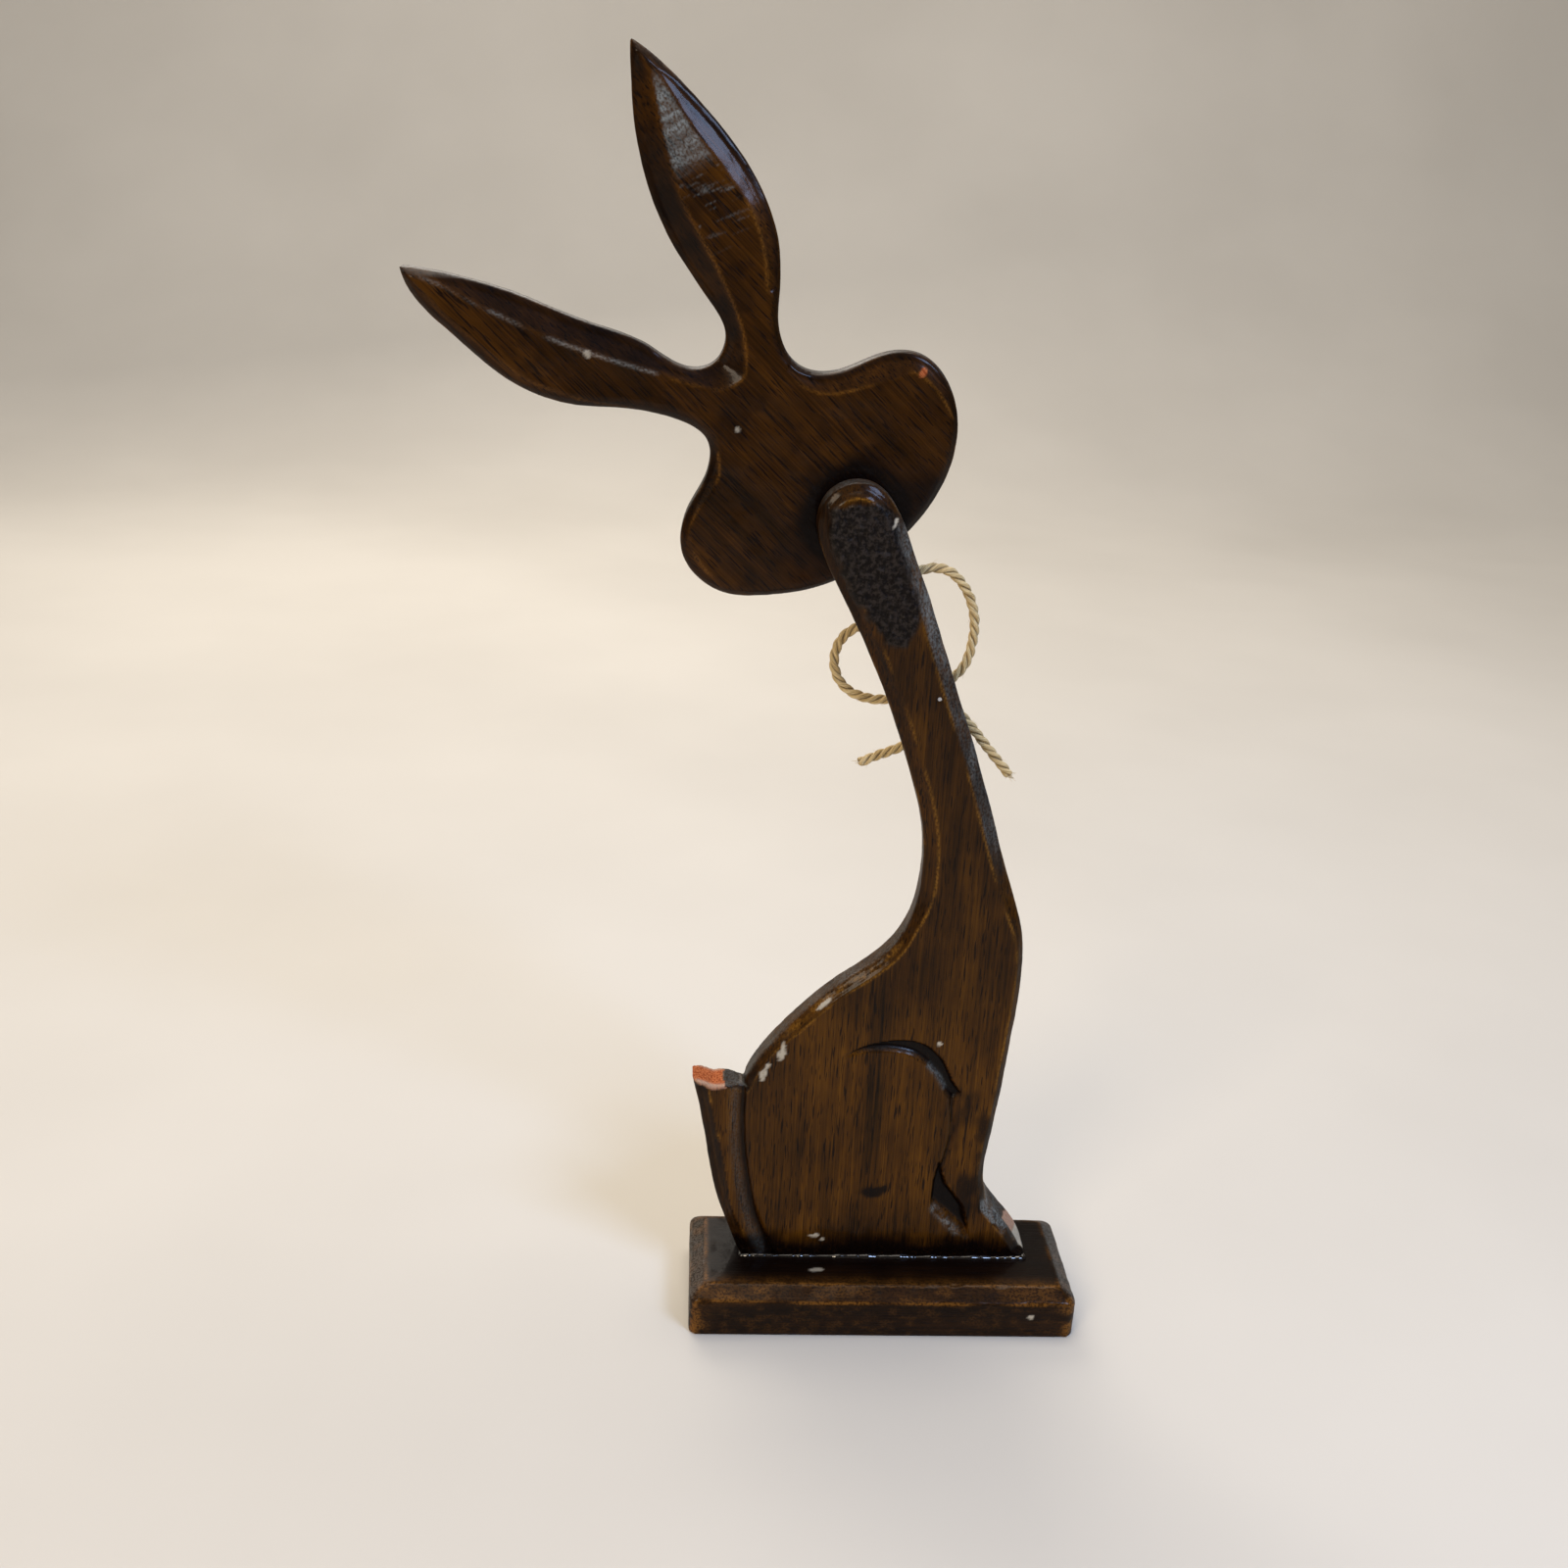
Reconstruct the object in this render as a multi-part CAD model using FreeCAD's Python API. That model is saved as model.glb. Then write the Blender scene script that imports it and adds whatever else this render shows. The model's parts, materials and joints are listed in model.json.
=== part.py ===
import FreeCAD, Part
import math
import os

# Carved wooden rabbit on a plinth. The body with its long neck is one board, the head with its
# two ears is another, and the head turns on a wooden peg in the neck. A twine bow is tacked on
# the front of the neck. Millimetres. The origin is the middle of the plinth's underside, +Z is
# up, the rabbit's face looks along -Y, and its tail points to +X.

# ---- plinth -------------------------------------------------------------------------------
PLINTH_LENGTH = 132.0
PLINTH_DEPTH = 47.8
PLINTH_BAND = 13.5          # height of the upright band
PLINTH_CHAMFER_RISE = 3.8
PLINTH_CHAMFER_RUN = 5.4
PLINTH_CORNER = 3.5         # corner radius of the band, in plan
PLINTH_TOP_CORNER = 1.5     # corner radius of the top face, in plan

# ---- boards -------------------------------------------------------------------------------
BODY_THICKNESS = 11.5
BODY_SETBACK = 2.0          # how far the body board's middle lies in front of the plinth's
HEAD_THICKNESS = 11.5
HEAD_GAP = 0.25             # running gap between the neck and the head
EDGE_CHAMFER = 2.2          # hand-cut bevel along the boards' outlines
CARVE_DEPTH = 2.0           # depth of the grooves cut in both faces of a board
FACE_DEPTH = 1.6            # depth of the cuts that draw the face

# ---- neck cap and head joint --------------------------------------------------------------
CAP_RADIUS = 12.0           # round end of the neck
CAP_TURNS = (-8, 32, 72, 112, 152)  # degrees about the peg where the outline follows that end
PEG_X = 24.2
PEG_RISE = 256.8            # peg axis above the plinth's top
PEG_RADIUS = 4.0
PEG_DEPTH = 8.0             # how deep the peg goes into either board
PEG_CLEARANCE = 0.05        # radial clearance of the peg in the neck
HEAD_TILT = 47.0            # degrees that the ears lean towards +X at rest

# ---- dowels -------------------------------------------------------------------------------
DOWEL_RADIUS = 3.0
DOWEL_DEPTH = 10.0          # how deep each dowel goes into the plinth and into the body
DOWEL_X = (-12.0, 22.0)

# ---- twine bow ----------------------------------------------------------------------------
TWINE_DIAMETER = 3.2
BOW_GAP = 0.25              # air between the neck and the twine, and between crossing strands
KNOT_X = -3.9
KNOT_RISE = 204.4           # above the plinth's top
KNOT_WIDTH = 8.6
KNOT_HEIGHT = 9.6
KNOT_THICKNESS = 7.0
NAIL_RADIUS = 0.6
NAIL_HEAD_RADIUS = 1.6
NAIL_HEAD_HEIGHT = 0.7

TINY = 0.01                 # tolerance for telling edges apart

PLINTH_HEIGHT = PLINTH_BAND + PLINTH_CHAMFER_RISE
BODY_BACK = BODY_THICKNESS / 2 - BODY_SETBACK
BODY_FRONT = -BODY_THICKNESS / 2 - BODY_SETBACK
HEAD_BACK = BODY_FRONT - HEAD_GAP
HEAD_FRONT = HEAD_BACK - HEAD_THICKNESS

# Outlines in a board's own plane, as (across, up). The body's are measured from the plinth's
# top and the head's from its peg with the ears upright.
TAIL_EDGE = [(49.0, 0.0), (54.0, 12.7), (59.5, 31.0), (62.0, 45.0), (64.5, 58.0), (67.3, 70.0)]
TAIL_BREAK = [(67.3, 70.0), (60.0, 67.2), (56.5, 67.8), (50.3, 67.0)]
BACK_EDGE = [
    (50.3, 67.0), (45.8, 77.0), (36.0, 89.8), (21.0, 104.9), (6.4, 116.8), (-1.2, 129.6),
    (-3.7, 145.5), (-2.5, 161.0), (2.3, 178.0), (10.0, 198.7), (20.0, 220.7), (30.6, 240.4),
]
CHEST_EDGE = [
    (8.5, 252.0), (2.0, 236.7), (-8.0, 210.7), (-20.0, 178.7), (-31.9, 143.7), (-37.9, 125.0),
    (-39.3, 108.0), (-37.7, 82.7), (-35.3, 52.7), (-33.8, 34.8), (-35.0, 26.8), (-39.2, 20.6),
    (-45.8, 12.6), (-51.5, 0.0),
]
EARS_OUTSIDE_RIGHT = [(43.0, 141.5), (45.8, 135.0), (46.2, 118.0), (45.0, 102.0), (41.5, 90.0)]
CHEEK_AND_CHIN = [
    (35.5, 80.2), (26.0, 69.6), (17.6, 56.6), (15.7, 47.0), (21.6, 40.5), (34.4, 36.3),
    (43.9, 29.8), (46.9, 20.8), (44.2, 10.2), (34.8, 0.0), (21.0, -9.1), (4.0, -14.3),
    (-14.0, -14.6), (-28.5, -10.4), (-40.0, -2.0), (-46.2, 9.0), (-46.0, 20.0), (-38.0, 28.2),
    (-25.0, 34.0), (-18.2, 43.0), (-20.5, 53.0), (-29.0, 62.0), (-38.5, 72.5),
]
EARS_OUTSIDE_LEFT = [(-44.0, 84.0), (-47.0, 98.0), (-47.8, 115.0), (-47.0, 130.0), (-45.6, 137.0)]
EARS_INSIDE = [
    (-45.6, 137.0), (-34.0, 125.0), (-22.2, 108.0), (-15.6, 90.6), (-12.4, 73.0), (-9.0, 63.8),
    (-1.5, 60.8), (5.1, 65.0), (9.0, 77.8), (16.0, 92.8), (26.0, 115.0), (37.0, 133.5),
    (43.0, 141.5),
]

# Carved grooves of the body, as closed outlines in the same measure as its edges.
HAUNCH_CUT = [
    (19.0, 78.7), (10.0, 83.9), (-0.5, 85.9), (-9.0, 84.6), (-15.5, 79.0), (-20.0, 70.2),
    (-22.8, 66.5), (-19.6, 62.4), (-16.6, 67.0), (-12.0, 74.6), (-6.0, 79.8), (2.0, 81.7),
    (10.5, 81.3),
]
LEG_POCKET = [(-18.6, 41.0), (-15.6, 21.0), (-29.0, 6.5), (-27.2, 15.5), (-20.4, 28.5)]
TAIL_GROOVE = [(50.4, 66.0), (49.9, 48.0), (47.6, 32.0), (43.0, 17.0), (37.0, 3.0)]
LEG_GROOVE = [(-19.8, 64.0), (-20.8, 52.0), (-19.8, 42.0), (-18.0, 33.0)]
GROOVE_WIDTH = 2.2
GROOVE_STEPS = 24           # points along each side of a channel

# Cuts that draw the face on the head's front, in the head's own measure.
EYE_X = 17.0
EYE_UP = 20.0
EYE_RADIUS = 3.4
EYE_RING = 1.1
NOSE = [(-5.0, 6.0), (5.0, 6.0), (0.0, 0.5)]
MOUTH = [(-8.0, -6.5), (-4.0, -7.6), (0.0, -3.6), (4.0, -7.6), (8.0, -6.5)]
MOUTH_WIDTH = 1.2

# The twine's route, as (across, from the neck's front, up from the plinth's top). Strands that
# lie on the neck are half a twine in front of it, and a strand over another is one twine more.
LOW = TWINE_DIAMETER / 2 + BOW_GAP
HIGH = LOW + TWINE_DIAMETER + BOW_GAP
LOOP_RIGHT = [
    (-2.8, LOW, 206.6), (3.6, LOW, 215.0), (9.9, LOW, 224.2), (9.4, LOW + 0.3, 233.8),
    (4.0, LOW + 0.6, 241.1), (-4.7, LOW + 1.0, 242.1), (-11.4, LOW + 1.4, 236.2),
    (-15.2, LOW + 1.4, 227.2), (-15.0, LOW + 1.0, 216.8), (-12.0, LOW + 0.4, 208.2),
    (-5.6, LOW + 0.6, 204.2),
]
LOOP_LEFT = [
    (-2.4, HIGH, 206.4), (3.6, HIGH, 215.2), (11.8, HIGH, 221.9), (21.6, HIGH - 0.6, 222.4),
    (27.6, HIGH - 1.2, 215.8), (27.5, HIGH - 2.0, 206.4), (20.6, HIGH - 2.8, 199.8),
    (8.8, LOW + 0.4, 198.9), (-1.6, LOW + 0.8, 203.0),
]
TAIL_LEFT = [
    (-4.5, LOW + 0.6, 200.9), (-3.6, LOW + 0.2, 191.4), (3.0, LOW, 184.6), (10.8, LOW, 181.6),
    (17.8, LOW, 178.3),
]
TAIL_RIGHT = [
    (-6.4, HIGH - 1.4, 203.0), (-11.6, LOW + 1.2, 197.0), (-18.0, LOW, 190.3),
    (-24.2, LOW - 0.4, 182.8), (-30.2, LOW - 1.0, 176.2),
]


def vec(x, y, z):
    """A vector."""
    return FreeCAD.Vector(x, y, z)


def raised(points):
    """Body outline points as vectors, lifted onto the plinth."""
    return [vec(x, 0, z + PLINTH_HEIGHT) for x, z in points]


def upright(points):
    """Head outline points as vectors about its own peg."""
    return [vec(x, 0, z) for x, z in points]


def curve(points):
    """One smooth edge through the points."""
    spline = Part.BSplineCurve()
    spline.interpolate(points)
    return spline.toShape()


def straight(points):
    """Straight edges from point to point."""
    return [Part.makeLine(a, b) for a, b in zip(points, points[1:])]


def closed_curve(points):
    """One smooth closed wire through the points."""
    spline = Part.BSplineCurve()
    spline.interpolate(points, PeriodicFlag=True)
    return Part.Wire(spline.toShape())


def prism(wire, from_y, to_y):
    """The solid that a wire at Y 0 sweeps from one Y to another."""
    face = Part.Face(wire)
    face.translate(vec(0, from_y, 0))
    return face.extrude(vec(0, to_y - from_y, 0))


def cylinder_y(x, z, radius, from_y, to_y):
    """A round bar along Y."""
    start = vec(x, min(from_y, to_y), z)
    return Part.makeCylinder(radius, abs(to_y - from_y), start, vec(0, 1, 0))


def along_face(edge):
    """Whether an edge lies in a face of a board, so that it doesn't run along Y."""
    return edge.BoundBox.YLength < TINY


def is_straight(edge):
    """Whether an edge is a straight line."""
    return edge.Curve.TypeId == "Part::GeomLine"


def rounded_rectangle(length, depth, radius, z):
    """A flat closed wire about the Z axis."""
    x = length / 2
    y = depth / 2
    edges = []
    for turn, (sx, sy) in enumerate([(1, 1), (-1, 1), (-1, -1), (1, -1)]):
        start = 90.0 * turn
        centre = vec(sx * (x - radius), sy * (y - radius), z)
        edges.append(Part.makeCircle(radius, centre, vec(0, 0, 1), start, start + 90))
    ends = [(edge.Vertexes[0].Point, edge.Vertexes[-1].Point) for edge in edges]
    sides = [Part.makeLine(ends[i][1], ends[(i + 1) % 4][0]) for i in range(4)]
    return Part.Wire([part for pair in zip(edges, sides) for part in pair])


def dowels():
    """The two dowels, as bars through the plinth's top."""
    low = PLINTH_HEIGHT - DOWEL_DEPTH
    return [Part.makeCylinder(DOWEL_RADIUS, 2 * DOWEL_DEPTH, vec(x, -BODY_SETBACK, low)) for x in DOWEL_X]


def plinth():
    """The block with its upright band, sloped top edge and dowel holes."""
    band = rounded_rectangle(PLINTH_LENGTH, PLINTH_DEPTH, PLINTH_CORNER, 0)
    block = Part.Face(band).extrude(vec(0, 0, PLINTH_BAND))
    low = rounded_rectangle(PLINTH_LENGTH, PLINTH_DEPTH, PLINTH_CORNER, PLINTH_BAND)
    top_length = PLINTH_LENGTH - 2 * PLINTH_CHAMFER_RUN
    top_depth = PLINTH_DEPTH - 2 * PLINTH_CHAMFER_RUN
    top = rounded_rectangle(top_length, top_depth, PLINTH_TOP_CORNER, PLINTH_HEIGHT)
    slope = Part.makeLoft([low, top], True, True)
    return block.fuse(slope).removeSplitter().cut(dowels())


def body_outline():
    """The body board's edge, with the neck's round end about the peg."""
    centre = vec(PEG_X, 0, PEG_RISE + PLINTH_HEIGHT)

    def on_cap(degrees):
        turn = math.radians(degrees)
        return centre + vec(CAP_RADIUS * math.cos(turn), 0, CAP_RADIUS * math.sin(turn))

    cap = [on_cap(degrees) for degrees in CAP_TURNS]
    profile = raised(BACK_EDGE) + cap + raised(CHEST_EDGE)
    foot = raised([CHEST_EDGE[-1], TAIL_EDGE[0]])
    edges = [curve(raised(TAIL_EDGE))] + straight(raised(TAIL_BREAK)) + [curve(profile)]
    return Part.Wire(edges + straight(foot))


def groove(points, width, from_y, to_y):
    """The solid that cuts a channel of one width along a smooth line."""
    line = Part.BSplineCurve()
    line.interpolate(points)
    left = []
    right = []
    for i in range(GROOVE_STEPS + 1):
        step = line.parameterAtDistance(line.length() * i / GROOVE_STEPS, line.FirstParameter)
        along = line.tangent(step)[0]
        aside = vec(-along.z, 0, along.x) * (width / 2)
        left.append(line.value(step) + aside)
        right.append(line.value(step) - aside)
    edges = [curve(left), curve(right)]
    edges += straight([left[0], right[0]]) + straight([left[-1], right[-1]])
    return prism(Part.Wire(Part.__sortEdges__(edges)), from_y, to_y)


def body_board():
    """The board with body, neck, haunch, tail stub and paw."""
    board = prism(body_outline(), BODY_FRONT, BODY_BACK)
    rims = [edge for edge in board.Edges if along_face(edge) and not is_straight(edge)]
    board = board.makeChamfer(EDGE_CHAMFER, rims)
    for face, inside in ((BODY_BACK, -CARVE_DEPTH), (BODY_FRONT, CARVE_DEPTH)):
        outside = face - inside
        floor = face + inside
        board = board.cut(prism(closed_curve(raised(HAUNCH_CUT)), outside, floor))
        board = board.cut(prism(Part.makePolygon(raised(LEG_POCKET + LEG_POCKET[:1])), outside, floor))
        board = board.cut(groove(raised(TAIL_GROOVE), GROOVE_WIDTH, outside, floor))
        board = board.cut(groove(raised(LEG_GROOVE), GROOVE_WIDTH, outside, floor))
    peg_z = PEG_RISE + PLINTH_HEIGHT
    hole = cylinder_y(PEG_X, peg_z, PEG_RADIUS + PEG_CLEARANCE, BODY_FRONT, BODY_FRONT + PEG_DEPTH)
    return board.cut([hole, nail()] + dowels())


def head_outline():
    """The head board's edge about its peg, ears upright."""
    outside = upright(EARS_OUTSIDE_RIGHT + CHEEK_AND_CHIN + EARS_OUTSIDE_LEFT)
    return Part.Wire([curve(outside), curve(upright(EARS_INSIDE))])


def face_cuts():
    """Eyes, nose and mouth as solids to cut from the head's front."""
    front = HEAD_FRONT - FACE_DEPTH
    floor = HEAD_FRONT + FACE_DEPTH
    cuts = [prism(Part.makePolygon(upright(NOSE + NOSE[:1])), front, floor)]
    cuts.append(groove(upright(MOUTH), MOUTH_WIDTH, front, floor))
    for side in (-1, 1):
        ring = cylinder_y(side * EYE_X, EYE_UP, EYE_RADIUS, front, floor)
        cuts.append(ring.cut(cylinder_y(side * EYE_X, EYE_UP, EYE_RADIUS - EYE_RING, front, floor)))
    return cuts


def placed_head(solid):
    """A solid of the head, tipped to its rest angle and moved to the peg."""
    solid.rotate(vec(0, 0, 0), vec(0, 1, 0), HEAD_TILT)
    solid.translate(vec(PEG_X, 0, PEG_RISE + PLINTH_HEIGHT))
    return solid


def head_board():
    """The board with the face, the cheeks and both ears."""
    board = prism(head_outline(), HEAD_FRONT, HEAD_BACK)
    board = board.makeChamfer(EDGE_CHAMFER, [edge for edge in board.Edges if along_face(edge)])
    hole = cylinder_y(0, 0, PEG_RADIUS, HEAD_BACK - PEG_DEPTH, HEAD_BACK)
    return placed_head(board.cut(face_cuts() + [hole]))


def head_peg():
    """The peg, glued in the head and turning in the neck."""
    in_head = HEAD_BACK - PEG_DEPTH
    in_neck = BODY_FRONT + PEG_DEPTH - HEAD_GAP
    return placed_head(cylinder_y(0, 0, PEG_RADIUS, in_head, in_neck))


def foot_dowels():
    """The dowels that stand the body on the plinth."""
    return Part.makeCompound(dowels())


def bow_knot():
    """The knot, a plain rounded lump tight against the neck."""
    ball = Part.makeSphere(0.5)
    stretch = FreeCAD.Matrix()
    stretch.scale(KNOT_WIDTH, KNOT_THICKNESS, KNOT_HEIGHT)
    lump = ball.transformGeometry(stretch)
    lump.translate(vec(KNOT_X, BODY_FRONT - KNOT_THICKNESS / 2, KNOT_RISE + PLINTH_HEIGHT))
    return lump.cut(nail())


def nail():
    """The tack through the knot, its tip just flush with the neck's back."""
    z = KNOT_RISE + PLINTH_HEIGHT
    outer = BODY_FRONT - KNOT_THICKNESS
    shank = cylinder_y(KNOT_X, z, NAIL_RADIUS, outer, BODY_BACK)
    head = cylinder_y(KNOT_X, z, NAIL_HEAD_RADIUS, outer - NAIL_HEAD_HEIGHT, outer)
    return shank.fuse(head).removeSplitter()


def cord_tube(name, route):
    """A round tube along straight runs joined by tangent arcs."""
    points = [vec(x, BODY_FRONT - away, z + PLINTH_HEIGHT) for x, away, z in route]
    edges = []
    start = points[0]
    smallest = math.inf
    for before, corner, after in zip(points, points[1:], points[2:]):
        coming = (corner - before).normalize()
        going = (after - corner).normalize()
        half_turn = coming.getAngle(going) / 2
        run = min((corner - before).Length, (after - corner).Length)
        back = 0.45 * run
        smallest = min(smallest, back / math.tan(half_turn))
        first = corner - coming * back
        last = corner + going * back
        bisector = (going - coming).normalize()
        radius = back / math.tan(half_turn)
        middle = corner + bisector * (radius / math.cos(half_turn) - radius)
        edges.append(Part.LineSegment(start, first).toShape())
        edges.append(Part.Arc(first, middle, last).toShape())
        start = last
    edges.append(Part.LineSegment(start, points[-1]).toShape())
    path = Part.Wire(edges)
    ring = Part.Wire(Part.makeCircle(TWINE_DIAMETER / 2, points[0], points[1] - points[0]))
    tube = path.makePipeShell([ring], True, True)
    share = tube.Volume / (math.pi * (TWINE_DIAMETER / 2) ** 2 * path.Length)
    print(f"{name}: length {path.Length:.1f}, least radius {smallest:.1f}, volume share {share:.4f}")
    return tube


def build():
    """Every node's solid, by name."""
    knot = bow_knot()
    solid_knot = knot.fuse(nail())
    tubes = {
        "bow_loop_right": cord_tube("bow_loop_right", LOOP_RIGHT),
        "bow_loop_left": cord_tube("bow_loop_left", LOOP_LEFT),
        "bow_tail_left": cord_tube("bow_tail_left", TAIL_LEFT),
        "bow_tail_right": cord_tube("bow_tail_right", TAIL_RIGHT),
    }
    nodes = {
        "plinth": plinth(),
        "body_board": body_board(),
        "foot_dowels": foot_dowels(),
        "head_board": head_board(),
        "head_peg": head_peg(),
        "bow_knot": knot,
        "bow_nail": nail(),
    }
    for name, tube in tubes.items():
        nodes[name] = tube.cut(solid_knot)
    return nodes


os.makedirs("parts", exist_ok=True)
for name, shape in build().items():
    print(f"{name}: solids {len(shape.Solids)}, valid {shape.isValid()}, volume {shape.Volume:.0f}")
    shape.exportStep(f"parts/{name}.step")
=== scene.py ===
"""The looks of the carved rabbit: two stained boards on a chamfered plinth, and a twine bow.

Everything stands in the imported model's own frame. Shapes are worked out in millimetres and turned
into metres when they become meshes. The rabbit's face looks along -Y and its tail points to +X.
"""

import sys
import json
import logging
import math
from dataclasses import dataclass, field, replace
from enum import Enum
from itertools import product
from typing import Any, Callable, Sequence

import bmesh
import bpy
import numpy as np
from mathutils import Euler, Matrix, Vector

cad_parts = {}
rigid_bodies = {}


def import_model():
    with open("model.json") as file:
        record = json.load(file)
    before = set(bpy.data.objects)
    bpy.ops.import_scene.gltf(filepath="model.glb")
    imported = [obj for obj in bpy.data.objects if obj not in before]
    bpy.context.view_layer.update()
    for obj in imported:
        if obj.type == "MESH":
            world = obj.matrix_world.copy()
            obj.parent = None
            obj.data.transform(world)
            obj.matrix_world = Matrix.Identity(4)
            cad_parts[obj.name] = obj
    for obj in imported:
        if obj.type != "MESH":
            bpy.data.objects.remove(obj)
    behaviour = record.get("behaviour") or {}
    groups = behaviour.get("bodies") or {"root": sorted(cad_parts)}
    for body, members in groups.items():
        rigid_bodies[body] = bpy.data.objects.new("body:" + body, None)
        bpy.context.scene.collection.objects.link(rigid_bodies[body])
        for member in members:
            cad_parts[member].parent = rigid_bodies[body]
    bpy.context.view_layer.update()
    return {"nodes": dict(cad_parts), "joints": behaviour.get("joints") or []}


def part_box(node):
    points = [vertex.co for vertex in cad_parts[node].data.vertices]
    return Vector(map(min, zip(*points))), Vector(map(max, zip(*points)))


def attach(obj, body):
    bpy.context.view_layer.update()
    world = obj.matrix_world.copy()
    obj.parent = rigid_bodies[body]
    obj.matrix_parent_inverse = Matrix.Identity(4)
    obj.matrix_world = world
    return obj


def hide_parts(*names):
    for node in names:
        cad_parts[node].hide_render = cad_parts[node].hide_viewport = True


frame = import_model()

Array = np.ndarray
Point = tuple[float, ...]
Route = Sequence[Point]
Surface = tuple[Array, list, Array]  # points, faces, and a pair for each corner of each face

log = logging.getLogger("rabbit")

MM = 0.001
PLINTH_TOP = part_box("plinth")[1].z / MM
BODY_LOW, BODY_HIGH = (np.array(corner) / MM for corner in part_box("body_board"))
HEAD_LOW, HEAD_HIGH = (np.array(corner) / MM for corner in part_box("head_board"))
PEG = np.array(frame["joints"][0]["pos_m"]) / MM
HEAD_TILT = 47.0  # degrees that the ears lean towards +X at rest
EDGE_CHAMFER = 2.2
LATTICE = 64  # cells along each side of the block of random heights, after which it repeats


# ---- arithmetic -----------------------------------------------------------------------------


def linear(code: str) -> tuple[float, float, float, float]:
    """Turns an sRGB hex colour into a linear one.

    Args:
        code: the colour, such as "#7a4a1c".

    Returns:
        Red, green, blue and an alpha of one.
    """
    parts = [int(code[i : i + 2], 16) / 255 for i in (1, 3, 5)]
    red, green, blue = (p / 12.92 if p <= 0.04045 else ((p + 0.055) / 1.055) ** 2.4 for p in parts)
    return red, green, blue, 1.0


def ease(value: Array, low: float, high: float) -> Array:
    """Goes smoothly from 0 at low to 1 at high: t squared times (3 - 2t)."""
    t = np.clip((value - low) / (high - low), 0, 1)
    return t * t * (3 - 2 * t)


def bell(value: Array, width: float) -> Array:
    """A bell curve: e to the minus (value over width) squared."""
    return np.exp(-((value / width) ** 2))


def lumps(points: Array, size: float | Point, seed: int) -> Array:
    """Smooth random heights in -1..1.

    Random heights stand on a lattice with cells of the given size, and between them each point
    takes the eight corners' heights, eased along each axis.

    Args:
        points: N x 3 points in millimetres.
        size: the cell's size in millimetres, one number or one for each axis.
        seed: which set of random heights.

    Returns:
        One height for each point.
    """
    heights = np.random.default_rng(seed).uniform(-1, 1, (LATTICE, LATTICE, LATTICE))
    cell = points / np.asarray(size, float)
    base = np.floor(cell).astype(int)
    part = cell - base
    part = part * part * (3 - 2 * part)
    total = np.zeros(len(points))
    for corner in product((0, 1), repeat=3):
        share = np.prod(np.where(corner, part, 1 - part), axis=1)
        x, y, z = ((base + corner) % LATTICE).T
        total += share * heights[x, y, z]
    return total


def patchy(points: Array, size: float | Point, seed: int, low: float, high: float) -> Array:
    """Two octaves of lumps, eased to 0 below low and to 1 above high."""
    rough = lumps(points, size, seed) + 0.5 * lumps(points, np.asarray(size, float) / 2.3, seed + 1)
    return ease(rough, low, high)


def smooth_line(points: Route, steps: int = 8) -> Array:
    """Points along a smooth line through the given ones.

    Each run is a cubic that starts and ends with half the step between its neighbours.

    Args:
        points: the points that the line goes through.
        steps: how many points each run gives.

    Returns:
        The line's points.
    """
    p = np.array(points, float)
    p = np.vstack([2 * p[0] - p[1], p, 2 * p[-1] - p[-2]])
    t = np.linspace(0, 1, steps, endpoint=False)[:, None, None]
    a, b, c, d = p[:-3], p[1:-2], p[2:-1], p[3:]
    curve = 2 * b + (c - a) * t + (2 * a - 5 * b + 4 * c - d) * t**2 + (3 * b - a - 3 * c + d) * t**3
    curve = 0.5 * curve
    return np.vstack([curve.transpose(1, 0, 2).reshape(-1, p.shape[1]), p[-2]])


def off_run(spots: Array, start: Array, end: Array) -> tuple[Array, Array]:
    """How far each flat spot is from the nearest point of one straight run.

    Args:
        spots: N x 2 points.
        start: where the run starts.
        end: where it ends.

    Returns:
        The steps from the run to the spots, and the spots' shares along the run, which are below
        0 before its start and above 1 past its end.
    """
    run = end - start
    offset = spots - start
    share = offset @ run / max(run @ run, 1e-9)
    return offset - np.clip(share, 0, 1)[:, None] * run, share


def reach(spots: Array, line: Array) -> tuple[Array, Array]:
    """How far each flat spot is from a line.

    The nearest point of every run is worked out, and the smallest distance is kept with the side
    that it is on.

    Args:
        spots: N x 2 points.
        line: M x 2 points of the line.

    Returns:
        The distances, and 1 for spots on the left of the line's way, -1 on its right, or 0 past
        its ends.
    """
    best = np.full(len(spots), np.inf)
    side = np.ones(len(spots))
    last = len(line) - 2
    for number, (start, end) in enumerate(zip(line[:-1], line[1:])):
        gap, share = off_run(spots, start, end)
        distance = np.hypot(gap[:, 0], gap[:, 1])
        nearer = distance < best - 1e-9
        best[nearer] = distance[nearer]
        turn = (end - start)[0] * gap[:, 1] - (end - start)[1] * gap[:, 0]
        past = ((number == 0) & (share < 0)) | ((number == last) & (share > 1))
        side[nearer] = np.where(past, 0, np.where(turn >= 0, 1, -1))[nearer]
    return best, side


def within(spots: Array, outline: Array) -> Array:
    """Whether each flat spot lies inside a closed outline, by the number of edges to its right."""
    crossings = np.zeros(len(spots), int)
    for a, b in zip(outline, np.roll(outline, -1, axis=0)):
        spans = (a[1] > spots[:, 1]) != (b[1] > spots[:, 1])
        rise = b[1] - a[1]
        if abs(rise) > 1e-12:
            crossings += spans & (spots[:, 0] < a[0] + (spots[:, 1] - a[1]) * (b[0] - a[0]) / rise)
    return crossings % 2 == 1


# ---- marks ----------------------------------------------------------------------------------


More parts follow.
